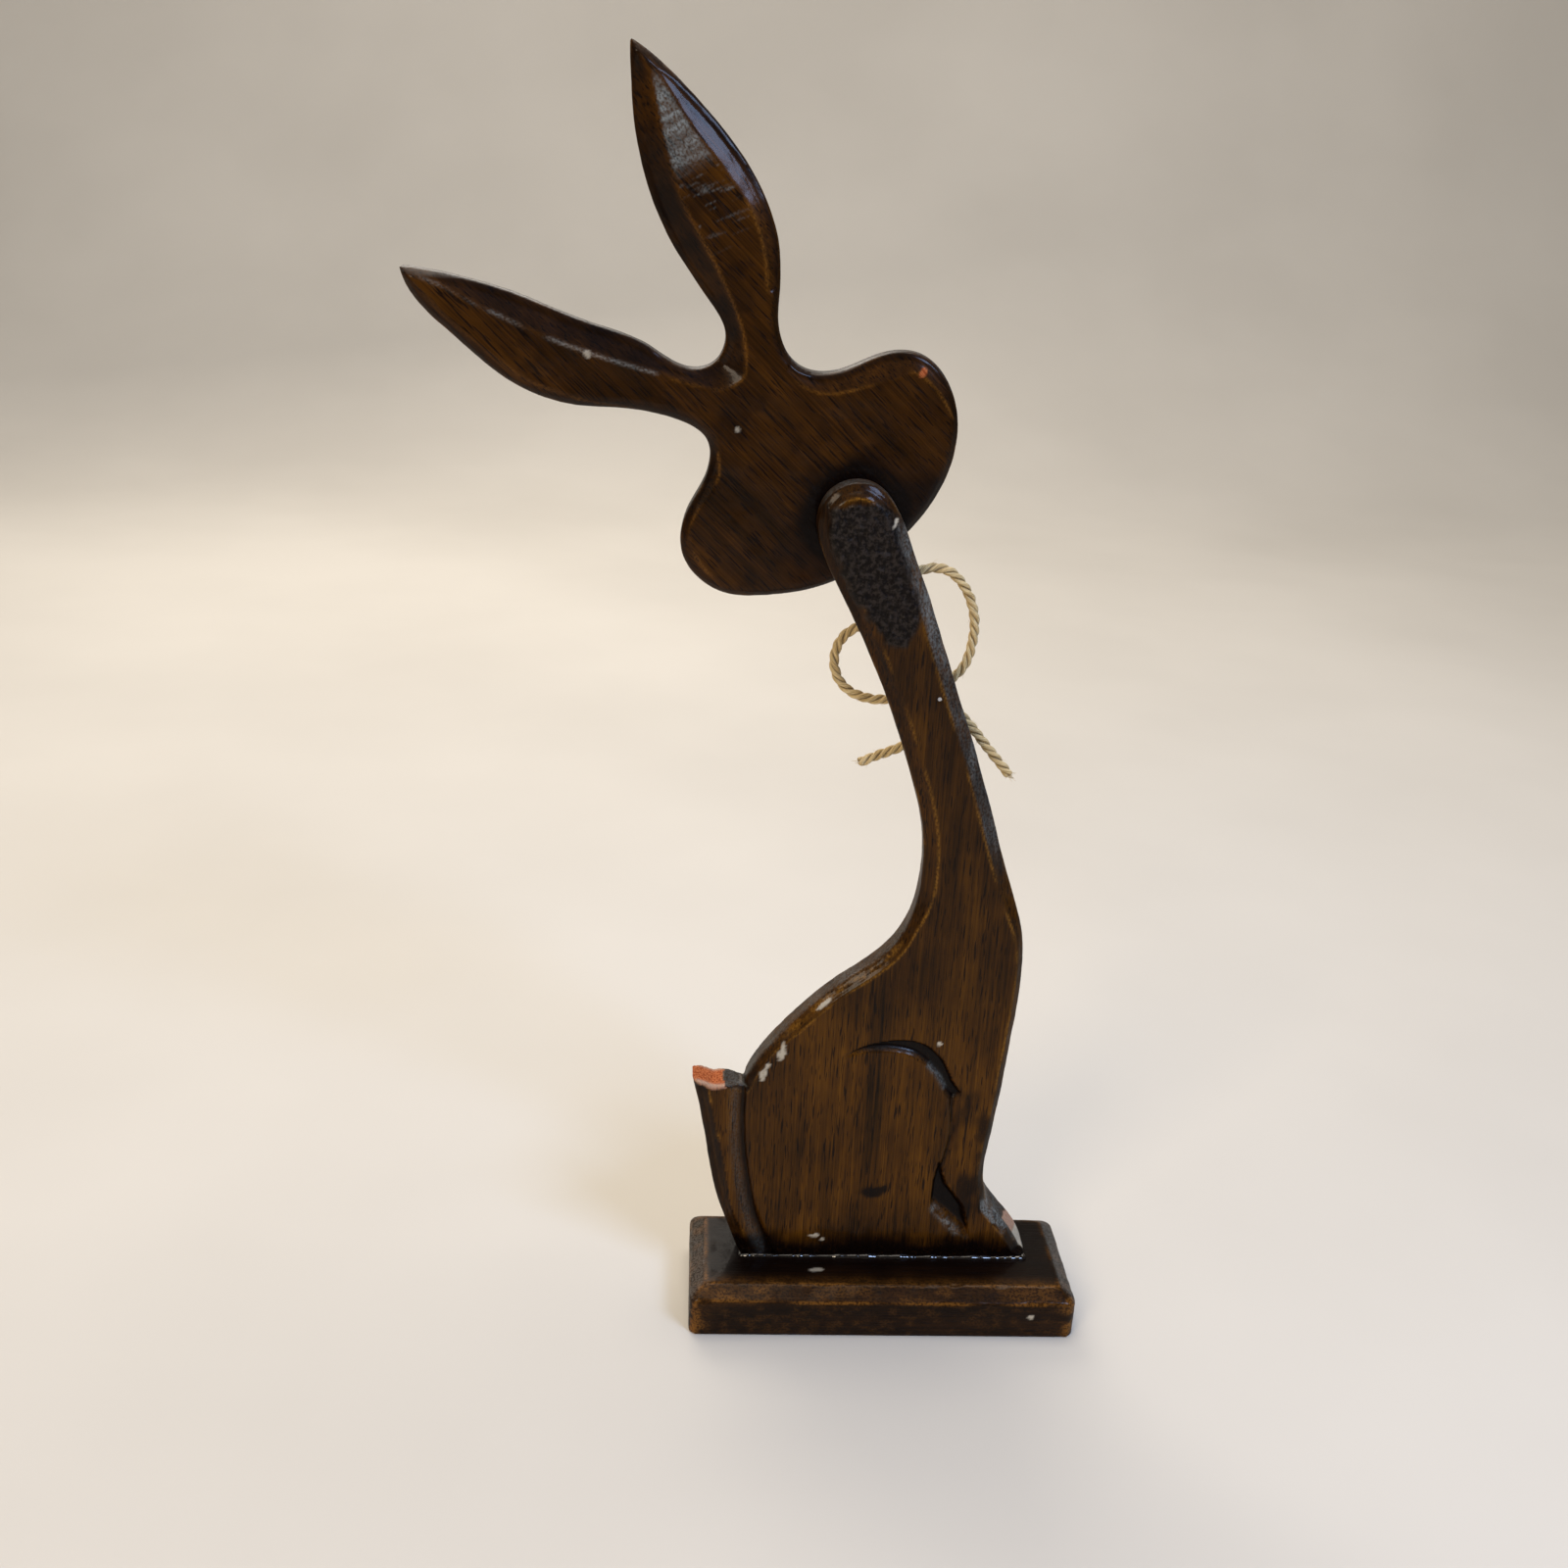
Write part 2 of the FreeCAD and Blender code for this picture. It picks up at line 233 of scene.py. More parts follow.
class Mark(Enum):
    """What a board's points say about its finish."""

    WORN = "worn"  # stain rubbed through to gold along edges
    DARK_STAIN_AND_SHADE = "dark_stain_and_shade"  # stain run together until it is black, and painted shade in grooves and hollows
    RAW = "raw"  # broken or chipped to bare wood
    CHIP = "chip"  # pale ground showing where lacquer flaked off
    TAR = "tar"  # thick lumpy dark lacquer
    SHEEN_AND_SCRATCHES = "sheen_and_scratches"  # painted grey-blue sheen of reflected light on the lacquer, with some real scratches and settled dirt


# ---- meshes ---------------------------------------------------------------------------------


def read(items: Any, name: str, width: int, kind: type = np.float32) -> Array:
    """One attribute of a mesh's vertices or edges, as an array with a row for each."""
    values = np.zeros(len(items) * width, kind)
    items.foreach_get(name, values)
    return values.reshape(-1, width)


def places(mesh: bpy.types.Mesh) -> Array:
    """A mesh's points in millimetres."""
    return read(mesh.vertices, "co", 3).astype(float) / MM


def mesh_piece(name: str, points: Array, faces: Array | list, uv: Array | None = None) -> bpy.types.Object:
    """Makes a smooth-shaded object at the origin.

    Args:
        name: the object's name.
        points: N x 3 points in millimetres.
        faces: the corners of each face.
        uv: one pair for each corner of each face, or None.

    Returns:
        The new object.
    """
    mesh = bpy.data.meshes.new(name)
    mesh.from_pydata((np.asarray(points) * MM).tolist(), [], [list(map(int, face)) for face in faces])
    if uv is not None:
        layer = mesh.uv_layers.new(name="along")
        layer.data.foreach_set("uv", np.asarray(uv, np.float32).ravel())
    mesh.polygons.foreach_set("use_smooth", np.ones(len(mesh.polygons), bool))
    mesh.validate()
    mesh.update()
    piece = bpy.data.objects.new(name, mesh)
    bpy.context.scene.collection.objects.link(piece)
    return piece


def sweep(path: Array, radii: Array, up: Point, around: int, phase: float = 0.0) -> Surface:
    """Carries a round profile along a path and closes both ends.

    A point at angle a on ring i is the path's point plus radius times (cos a times side plus
    sin a times rise), where side is the tangent crossed with up, and rise is side crossed with
    the tangent.

    Args:
        path: M x 3 points.
        radii: one radius for each point.
        up: a direction that the path never follows.
        around: points on each ring.
        phase: the angle of the first point.

    Returns:
        Points, faces, and a pair (along, around) in millimetres for each corner of each face.
    """
    tangent = np.gradient(path, axis=0)
    tangent /= np.linalg.norm(tangent, axis=1)[:, None]
    side = np.cross(tangent, up)
    side /= np.linalg.norm(side, axis=1)[:, None]
    rise = np.cross(side, tangent)
    angle = phase + np.linspace(0, 2 * np.pi, around, endpoint=False)
    ring = np.cos(angle)[None, :, None] * side[:, None] + np.sin(angle)[None, :, None] * rise[:, None]
    rings = path[:, None] + radii[:, None, None] * ring
    count = len(path)
    points = np.vstack([rings.reshape(-1, 3), path[0], path[-1]])
    i, j = np.meshgrid(np.arange(count - 1), np.arange(around), indexing="ij")
    k = (j + 1) % around
    quads = np.stack([i * around + j, i * around + k, (i + 1) * around + k, (i + 1) * around + j], -1)
    length = np.concatenate([[0], np.cumsum(np.linalg.norm(np.diff(path, axis=0), axis=1))])
    turn = 2 * np.pi * radii.mean() / around
    across = np.stack([j, j + 1, j + 1, j], -1) * turn
    along = np.stack([length[i], length[i], length[i + 1], length[i + 1]], -1)
    first = np.arange(around)
    second = (first + 1) % around
    low = np.stack([np.full(around, count * around), second, first, first], -1)
    base = (count - 1) * around
    high = np.stack([np.full(around, count * around + 1), base + first, base + second, base + second], -1)
    faces = [list(q) for q in quads.reshape(-1, 4)]
    faces += [list(f[:3]) for f in np.vstack([low, high])]
    uv = np.stack([along, across], -1).reshape(-1, 2)
    ends = np.zeros((6 * around, 2))
    ends[3 * around :, 0] = length[-1]
    return points, faces, np.vstack([uv, ends])


def joined(parts: Sequence[Surface]) -> Surface:
    """Several sweeps as one set of points, faces and pairs."""
    faces: list[list[int]] = []
    start = 0
    for points, corners, _ in parts:
        faces += [[int(c) + start for c in face] for face in corners]
        start += len(points)
    return np.vstack([p for p, _, _ in parts]), faces, np.vstack([u for _, _, u in parts])


@dataclass(frozen=True)
class Ground:
    """A piece's points with their outward directions and their distances from the walls' edge."""

    points: Array
    normals: Array
    edge: Array

    @property
    def x(self) -> Array:
        """Across."""
        return self.points[:, 0]

    @property
    def y(self) -> Array:
        """Depth, from front to back."""
        return self.points[:, 1]

    @property
    def rise(self) -> Array:
        """Height above the plinth's top."""
        return self.points[:, 2] - PLINTH_TOP

    @property
    def spots(self) -> Array:
        """Across and height, as flat spots."""
        return np.stack([self.x, self.rise], 1)

    @property
    def face(self) -> Array:
        """1 on a board's two faces, 0 on its walls."""
        return ease(np.abs(self.normals[:, 1]), 0.35, 0.8)

    @property
    def wall(self) -> Array:
        """1 on a board's upright walls, 0 on its faces and bevels."""
        return 1 - ease(np.abs(self.normals[:, 1]), 0.2, 0.5)

    @property
    def corner(self) -> Array:
        """0 on the middle of the walls, 1 on the bevels and faces."""
        return 1 - bell(self.normals[:, 1], 0.2)

    def dust_and_painted_light_share(self, most: float, low: float, seed: int) -> Array:
        """Dust and a painted grey sheen of the light from above, on the walls that look upwards: most is its
        share, low the least upward part.
        """
        patches = 0.5 + 0.5 * patchy(self.points, 4.0, seed, -0.6, 0.6)
        return most * ease(self.normals[:, 2], low, 0.6) * (1 - self.face) * patches


class Skin:
    """An even skin over a copy of a CAD node, to be carved and marked as whole arrays."""

    def __init__(self, node: str, name: str, voxel: float, closed: Callable | None = None) -> None:
        """Copies the node, closes its cuts, merges its loose triangles and covers it evenly.

        Args:
            node: the CAD node's name.
            name: the new piece's name.
            voxel: the skin's cell size in millimetres.
            closed: takes the copy's points and gives them back with small cuts closed, or None.
        """
        copy = frame["nodes"][node].data.copy()
        if closed:
            copy.vertices.foreach_set("co", (closed(places(copy)) * MM).astype(np.float32).ravel())
        work = bmesh.new()
        work.from_mesh(copy)
        bmesh.ops.remove_doubles(work, verts=work.verts, dist=2e-6)
        work.to_mesh(copy)
        work.free()
        self.rim = self.walls_edge(copy)
        blank = bpy.data.objects.new(name + "_blank", copy)
        bpy.context.scene.collection.objects.link(blank)
        cover = blank.modifiers.new("cover", "REMESH")
        cover.mode = "VOXEL"
        cover.voxel_size = voxel * MM
        cover.adaptivity = 0.0
        done = blank.evaluated_get(bpy.context.evaluated_depsgraph_get())
        self.mesh = bpy.data.meshes.new_from_object(done)
        self.mesh.name = name
        self.mesh.materials.clear()
        bpy.data.objects.remove(blank)
        bpy.data.meshes.remove(copy)
        self.name = name
        self.points = places(self.mesh)

    @staticmethod
    def walls_edge(mesh: bpy.types.Mesh) -> Array:
        """The lines in the XZ plane where an upright wall meets the back bevel.

        Args:
            mesh: the merged copy of the node.

        Returns:
            K x 2 x 2 ends of those lines, in millimetres.
        """
        points = places(mesh)
        edges = read(mesh.edges, "vertices", 2, np.int32)
        level = points[:, 1].max() - EDGE_CHAMFER
        chosen = edges[(np.abs(points[:, 1] - level) < 0.02)[edges].all(axis=1)]
        return points[chosen][:, :, [0, 2]]

    def normals(self) -> Array:
        """The outward direction at each point."""
        self.write()
        return read(self.mesh.vertex_normals, "vector", 3).astype(float)

    def ground(self, edge: Array) -> Ground:
        """The points as they are now, with their directions and the given distances."""
        return Ground(self.points.copy(), self.normals(), edge)

    def write(self) -> None:
        """Puts the points back into the mesh."""
        self.mesh.vertices.foreach_set("co", (self.points * MM).astype(np.float32).ravel())
        self.mesh.update()

    def relax(self, times: int, share: float = 0.5, furthest: float = 0.3) -> None:
        """Moves each point towards the mean of its neighbours, which softens the cut edges.

        Args:
            times: how often.
            share: how far each time, from 0 to 1.
            furthest: the most that any point may move, in millimetres.
        """
        before = self.points.copy()
        a, b = read(self.mesh.edges, "vertices", 2, np.int32).T
        ends = np.concatenate([a, b])
        others = np.concatenate([b, a])
        size = len(self.points)
        count = np.bincount(ends, minlength=size)
        for _ in range(times):
            sums = [np.bincount(ends, self.points[others, axis], size) for axis in range(3)]
            self.points += share * (np.stack(sums, 1) / count[:, None] - self.points)
        moved = self.points - before
        length = np.linalg.norm(moved, axis=1)[:, None]
        self.points = before + moved * np.minimum(1, furthest / np.maximum(length, 1e-9))

    def rim_reach(self) -> Array:
        """How far each point is from the upright walls' edge, in the XZ plane."""
        best = np.full(len(self.points), np.inf)
        spots = self.points[:, [0, 2]]
        for start, end in self.rim:
            gap, _ = off_run(spots, start, end)
            np.minimum(best, (gap**2).sum(axis=1), out=best)
        return np.sqrt(best)

    def mark(self, shares: dict[Mark, Array]) -> None:
        """Stores the share of each kind of mark at each point, 0 where none is given.

        Args:
            shares: one array of numbers from 0 to 1 for each kind.
        """
        for kind in Mark:
            layer = self.mesh.attributes.new(kind.value, "FLOAT", "POINT")
            values = shares.get(kind, np.zeros(len(self.points)))
            layer.data.foreach_set("value", np.clip(values, 0, 1).astype(np.float32))

    def finished(self, material: bpy.types.Material, body: str, node: str) -> bpy.types.Object:
        """Makes the skin an object in the scene, dressed and attached to its body, with the CAD node hidden.

        Args:
            material: its finish.
            body: the body that it rides on.
            node: the CAD node that it replaces.

        Returns:
            The piece.
        """
        self.write()
        self.mesh.polygons.foreach_set("use_smooth", np.ones(len(self.mesh.polygons), bool))
        self.mesh.materials.append(material)
        piece = bpy.data.objects.new(self.name, self.mesh)
        bpy.context.scene.collection.objects.link(piece)
        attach(piece, body)
        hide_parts(node)
        return piece


# ---- finishes -------------------------------------------------------------------------------


def add(tree: Any, kind: str, settings: dict | None = None, inputs: dict | None = None) -> Any:
    """Adds a node with its settings, and with a value or a link on each named input.

    Args:
        tree: the node tree.
        kind: the node's type.
        settings: its properties.
        inputs: for each input, by name or number, a value or another node's output.

    Returns:
        The node.
    """
    node = tree.nodes.new(kind)
    for key, value in (settings or {}).items():
        setattr(node, key, value)
    for key, value in (inputs or {}).items():
        if isinstance(value, bpy.types.NodeSocket):
            tree.links.new(value, node.inputs[key])
        else:
            node.inputs[key].default_value = value
    return node


@dataclass(frozen=True)
class Pattern:
    """A noise whose cells follow the grain."""

    across: float  # the cell's size across the grain, in millimetres
    along: float
    detail: float
    offset: float = 0.0  # metres, so that no two patterns match
    rough: float = 0.55


PATTERNS = {
    "fibre": Pattern(0.65, 38.0, 5.0),  # growth lines about 0.7 mm apart
    "bands": Pattern(9.0, 150.0, 2.0, 0.31),  # wide tone bands of a plain-sawn board
    "blotch": Pattern(17.0, 26.0, 3.0, 0.57),  # uneven take-up of the stain
    "pores": Pattern(0.46, 7.5, 1.0, 0.83, 0.4),  # open pores, drawn 0.4 mm wide so that they show
    "grit": Pattern(0.7, 0.9, 3.0, 1.19),  # breakup of worn places
    "crumbs": Pattern(1.6, 1.6, 4.0, 2.9, 0.62),  # lumps of the crusted lacquer
    "splinters": Pattern(0.5, 6.0, 3.0, 1.71),  # torn fibres of the break
    "ripple": Pattern(3.2, 4.6, 2.0, 2.3),  # brush ripple of the lacquer
}


@dataclass(frozen=True)
class Coating:
    """What lies over the stain where a board's points carry a mark."""

    mark: Mark
    tones: tuple[str, ...]  # one tone, or two that a pattern goes between
    grit: tuple[float, ...] = ()  # the grit's span and what it turns to; none lets the mark stand whole
    pattern: str = ""
    span: tuple[float, float] = (0.0, 1.0)
    roughness: float = -1.0  # below 0 leaves the wood's own


@dataclass(frozen=True)
class StainedWood:
    """Straight-grained hardwood with open pores, brushed walnut stain and clear gloss lacquer.

    The eye sees warm brown with short dark pores along the grain, gold where the stain is rubbed
    off the edges, black where the stain ran together, and glints where the lacquer faces a window.
    Black is also painted as shade in grooves and hollows, and a blue-grey sheen of reflected light
    is painted on some bevels and walls.
    """

    name: str
    deep: str = "#1b0e02"
    middle: str = "#432705"
    light: str = "#67400a"
    gold: str = "#9c6a22"
    black: str = "#080302"
    bare: str = "#7e3a1c"
    bare_pale: str = "#b5693f"
    pale: str = "#b3a996"
    # painted blue-grey sheen of reflected light, and scratches
    sheen_and_scratches: str = "#7f8482"
    # the crust's dark tone, and a lighter one that paints small highlights on its lumps
    crust: tuple[str, str] = ("#0b0604", "#2c2520")
    turn: float = 0.0  # degrees about Y from upright to the grain
    shift: Point = (0.0, 0.0, 0.0)
    grain_axis: int = 2
    coat: float = 0.17

    def coatings(self) -> tuple[Coating, ...]:
        """What lies over the stain, from the lowest up."""
        return (
            Coating(Mark.WORN, (self.gold,), (0.38, 0.58, 0.25, 1.0)),
            Coating(Mark.DARK_STAIN_AND_SHADE, (self.black,), (0.25, 0.50, 0.80, 1.0)),
            Coating(Mark.SHEEN_AND_SCRATCHES, (self.sheen_and_scratches,), (0.35, 0.62, 0.20, 0.9)),
            Coating(Mark.TAR, self.crust, (), "crumbs", (0.42, 0.64), 0.3),
            Coating(Mark.RAW, (self.bare, self.bare_pale), (), "splinters", (0.35, 0.65), 0.75),
            Coating(Mark.CHIP, (self.pale,), (0.30, 0.50, 0.70, 1.0)),
        )

    def make(self) -> bpy.types.Material:
        """Builds the material: the stained grain, each coating over it, then the lacquer.

        Returns:
            The material.
        """
        material = bpy.data.materials.new(self.name)
        material.use_nodes = True
        tree = material.node_tree
        tree.nodes.clear()
        place = add(tree, "ShaderNodeTexCoord").outputs["Object"]
        noise: dict[str, Any] = {}
        for name, pattern in PATTERNS.items():
            cell = [pattern.across * MM] * 3
            cell[self.grain_axis] = pattern.along * MM
            where = {
                "Vector": place,
                "Location": tuple(s + pattern.offset for s in self.shift),
                "Rotation": (0.0, math.radians(self.turn), 0.0),
                "Scale": tuple(cell),
            }
            spot = add(tree, "ShaderNodeMapping", {"vector_type": "TEXTURE"}, where).outputs[0]
            inputs = {"Vector": spot, "Scale": 1.0, "Detail": pattern.detail, "Roughness": pattern.rough}
            noise[name] = add(tree, "ShaderNodeTexNoise", {}, inputs).outputs["Fac"]
        mark = {
            kind: add(tree, "ShaderNodeAttribute", {"attribute_name": kind.value}).outputs["Fac"]
            for kind in Mark
        }

        smooth = {"interpolation_type": "SMOOTHSTEP"}
        weighed = {"operation": "MULTIPLY_ADD"}
        tone: Any = 0.0
        for name, weight in (("fibre", 0.38), ("bands", 0.32), ("blotch", 0.30)):
            tone = add(tree, "ShaderNodeMath", weighed, {0: noise[name], 1: weight, 2: tone}).outputs[0]
        ramp = add(tree, "ShaderNodeValToRGB", {}, {"Fac": tone})
        stops = ramp.color_ramp.elements
        stops[0].position = 0.36
        stops[0].color = linear(self.deep)
        stops[1].position = 0.66
        stops[1].color = linear(self.light)
        stops.new(0.50).color = linear(self.middle)
        inputs = {"Value": noise["pores"], "From Min": 0.60, "From Max": 0.66, "To Max": 0.8}
        pores = add(tree, "ShaderNodeMapRange", smooth, inputs).outputs[0]
        inputs = {0: pores, 6: ramp.outputs["Color"], 7: linear(self.black)}
        colour = add(tree, "ShaderNodeMix", {"data_type": "RGBA"}, inputs).outputs[2]
        inputs = {"Value": noise["fibre"], "From Min": 0.3, "From Max": 0.7, "To Min": 0.38, "To Max": 0.5}
        roughness = add(tree, "ShaderNodeMapRange", smooth, inputs).outputs[0]

        for coating in self.coatings():
            share = mark[coating.mark]
            if coating.grit:
                inputs = dict(zip(("From Min", "From Max", "To Min", "To Max"), coating.grit))
                inputs["Value"] = noise["grit"]
                broken = add(tree, "ShaderNodeMapRange", smooth, inputs).outputs[0]
                inputs = {0: share, 1: broken}
                share = add(tree, "ShaderNodeMath", {"operation": "MULTIPLY"}, inputs).outputs[0]
            over: Any = linear(coating.tones[0])
            if coating.pattern:
                low, high = coating.span
                inputs = {"Value": noise[coating.pattern], "From Min": low, "From Max": high}
                between = add(tree, "ShaderNodeMapRange", smooth, inputs).outputs[0]
                inputs = {0: between, 6: over, 7: linear(coating.tones[1])}
                over = add(tree, "ShaderNodeMix", {"data_type": "RGBA"}, inputs).outputs[2]
            inputs = {0: share, 6: colour, 7: over}
            colour = add(tree, "ShaderNodeMix", {"data_type": "RGBA"}, inputs).outputs[2]
            if coating.roughness >= 0:
                inputs = {0: share, 2: roughness, 3: coating.roughness}
                roughness = add(tree, "ShaderNodeMix", {}, inputs).outputs[0]

        raised = add(tree, "ShaderNodeMath", weighed, {0: noise["fibre"], 1: 0.35, 2: 0.0}).outputs[0]
        height = add(tree, "ShaderNodeMath", weighed, {0: pores, 1: -0.5, 2: raised}).outputs[0]
        grain = add(tree, "ShaderNodeBump", {}, {"Strength": 0.55, "Distance": 0.00025, "Height": height})
        inputs = {"Strength": 0.35, "Distance": 0.0003, "Height": noise["ripple"]}
        brushed = add(tree, "ShaderNodeBump", {}, inputs)
        inputs = {0: mark[Mark.TAR], 1: noise["crumbs"]}
        lumpy = add(tree, "ShaderNodeMath", {"operation": "MULTIPLY"}, inputs).outputs[0]
        inputs = {"Strength": 1.0, "Distance": 0.0007, "Height": lumpy, "Normal": brushed.outputs[0]}
        gloss = add(tree, "ShaderNodeBump", {}, inputs)
        inputs = {0: mark[Mark.RAW], 1: mark[Mark.CHIP]}
        bare = add(tree, "ShaderNodeMath", {"operation": "MAXIMUM"}, inputs).outputs[0]
        coat = add(tree, "ShaderNodeMapRange", smooth, {"Value": bare, "To Min": self.coat, "To Max": 0.0})
        inputs = {
            "Base Color": colour,
            "Roughness": roughness,
            "IOR": 1.5,
            "Specular IOR Level": 0.04,
            "Coat Weight": coat.outputs[0],
            "Coat Roughness": 0.15,
            "Coat IOR": 1.5,
            "Normal": grain.outputs[0],
            "Coat Normal": gloss.outputs[0],
        }
        shader = add(tree, "ShaderNodeBsdfPrincipled", {}, inputs)
        add(tree, "ShaderNodeOutputMaterial", {}, {"Surface": shader.outputs[0]})
        return material


@dataclass(frozen=True)
class PlainFinish:
    """A finish of one tone with fine mottling: raw dowel wood, drawn steel wire, wet lacquer, paint.

    The eye sees the base tone broken by a slightly darker one, and the gloss of its roughness.
    """

    name: str
    tone: str
    shade: str
    grit: Point  # size of one mottle in millimetres
    roughness: float
    metallic: float = 0.0
    coat: float = 0.0
    relief: float = 0.1  # height of the bump in millimetres

    def make(self) -> bpy.types.Material:
        """Builds the material.

        Returns:
            The material.
        """
        material = bpy.data.materials.new(self.name)
        material.use_nodes = True
        tree = material.node_tree
        tree.nodes.clear()
        place = add(tree, "ShaderNodeTexCoord").outputs["Object"]
        size = tuple(g * MM for g in self.grit)
        spot = add(tree, "ShaderNodeMapping", {"vector_type": "TEXTURE"}, {"Vector": place, "Scale": size})
        mottle = add(tree, "ShaderNodeTexNoise", {}, {"Vector": spot.outputs[0], "Scale": 1.0, "Detail": 4.0})
        ramp = add(tree, "ShaderNodeValToRGB", {}, {"Fac": mottle.outputs["Fac"]})
        ramp.color_ramp.elements[0].position = 0.35
        ramp.color_ramp.elements[0].color = linear(self.shade)
        ramp.color_ramp.elements[1].position = 0.62
        ramp.color_ramp.elements[1].color = linear(self.tone)
        inputs = {"Strength": 0.6, "Distance": self.relief * MM, "Height": mottle.outputs["Fac"]}
        bump = add(tree, "ShaderNodeBump", {}, inputs)
        inputs = {
            "Base Color": ramp.outputs["Color"],
            "Roughness": self.roughness,
            "Metallic": self.metallic,
            "Coat Weight": self.coat,
            "Coat Roughness": 0.08,
            "Normal": bump.outputs[0],
        }
        shader = add(tree, "ShaderNodeBsdfPrincipled", {}, inputs)
        add(tree, "ShaderNodeOutputMaterial", {}, {"Surface": shader.outputs[0]})
        return material


@dataclass(frozen=True)
class TwistedFibre:
    """Natural bast twine, spun and laid in plies, unbleached and a little soiled.

    The eye sees pale straw plies with fine fibres along them, and brown painted shade in the valleys between
    them.
    """

    name: str
    pale: str = "#e6d3a4"
    straw: str = "#c4a873"
    dust_and_painted_light: str = "#70592f"

    def make(self) -> bpy.types.Material:
        """Builds the material.

        Returns:
            The material.
        """
        material = bpy.data.materials.new(self.name)
        material.use_nodes = True
        tree = material.node_tree
        tree.nodes.clear()
        pairs = add(tree, "ShaderNodeUVMap", {"uv_map": "along"}).outputs["UV"]
        # fibres 0.18 mm apart and 5 mm long, at a slight angle to the ply
        turned = {"Vector": pairs, "Rotation": (0.0, 0.0, 0.35), "Scale": (5.0, 0.18, 1.0)}
        spot = add(tree, "ShaderNodeMapping", {"vector_type": "TEXTURE"}, turned)
        fibre = add(tree, "ShaderNodeTexNoise", {}, {"Vector": spot.outputs[0], "Scale": 1.0, "Detail": 3.0})
        place = add(tree, "ShaderNodeTexCoord").outputs["Object"]
        where = {"Vector": place, "Scale": (0.006, 0.006, 0.006)}
        wide = add(tree, "ShaderNodeMapping", {"vector_type": "TEXTURE"}, where)
        patch = add(tree, "ShaderNodeTexNoise", {}, {"Vector": wide.outputs[0], "Scale": 1.0, "Detail": 2.0})
        ramp = add(tree, "ShaderNodeValToRGB", {}, {"Fac": fibre.outputs["Fac"]})
        ramp.color_ramp.elements[0].position = 0.32
        ramp.color_ramp.elements[0].color = linear(self.dust_and_painted_light)
        ramp.color_ramp.elements[1].position = 0.66
        ramp.color_ramp.elements[1].color = linear(self.pale)
        ramp.color_ramp.elements.new(0.47).color = linear(self.straw)
        # painted shade: the deeper a point lies between the plies, the more it turns to the brown tone
        valley = add(tree, "ShaderNodeAttribute", {"attribute_name": "valley"}).outputs["Fac"]
        dust_and_painted_light_share = add(tree, "ShaderNodeMath", {"operation": "MULTIPLY"}, {0: valley, 1: 0.9}).outputs[0]
        inputs = {0: dust_and_painted_light_share, 6: ramp.outputs["Color"], 7: linear(self.dust_and_painted_light)}
        shaded = add(tree, "ShaderNodeMix", {"data_type": "RGBA"}, inputs).outputs[2]
        soft = add(tree, "ShaderNodeMapRange", {}, {"Value": patch.outputs["Fac"], "To Max": 0.35}).outputs[0]
        inputs = {0: soft, 6: shaded, 7: linear(self.straw)}
        colour = add(tree, "ShaderNodeMix", {"data_type": "RGBA"}, inputs).outputs[2]
        inputs = {"Strength": 0.8, "Distance": 0.00012, "Height": fibre.outputs["Fac"]}
        bump = add(tree, "ShaderNodeBump", {}, inputs)
        inputs = {
            "Base Color": colour,
            "Roughness": 0.82,
            "Sheen Weight": 0.25,
            "Sheen Roughness": 0.5,
            "Normal": bump.outputs[0],
        }
        shader = add(tree, "ShaderNodeBsdfPrincipled", {}, inputs)
        add(tree, "ShaderNodeOutputMaterial", {}, {"Surface": shader.outputs[0]})
        return material


# ---- the studio -----------------------------------------------------------------------------


@dataclass(frozen=True)
class Lamp:
    """One soft square light."""

    name: str
    spot: Point  # metres
    aim: Point
    size: float  # its side in metres
    power: float  # watts
    tint: str

    def hang(self) -> None:
        """Puts the light in the scene, turned so that it faces its aim."""
        light = bpy.data.lights.new(self.name, "AREA")
        light.shape = "SQUARE"
        light.size = self.size
        light.energy = self.power
        light.color = linear(self.tint)[:3]
        lamp = bpy.data.objects.new(self.name, light)
        turn = (Vector(self.aim) - Vector(self.spot)).to_track_quat("-Z", "Y")
        lamp.matrix_world = Matrix.LocRotScale(Vector(self.spot), turn, None)
        bpy.context.scene.collection.objects.link(lamp)


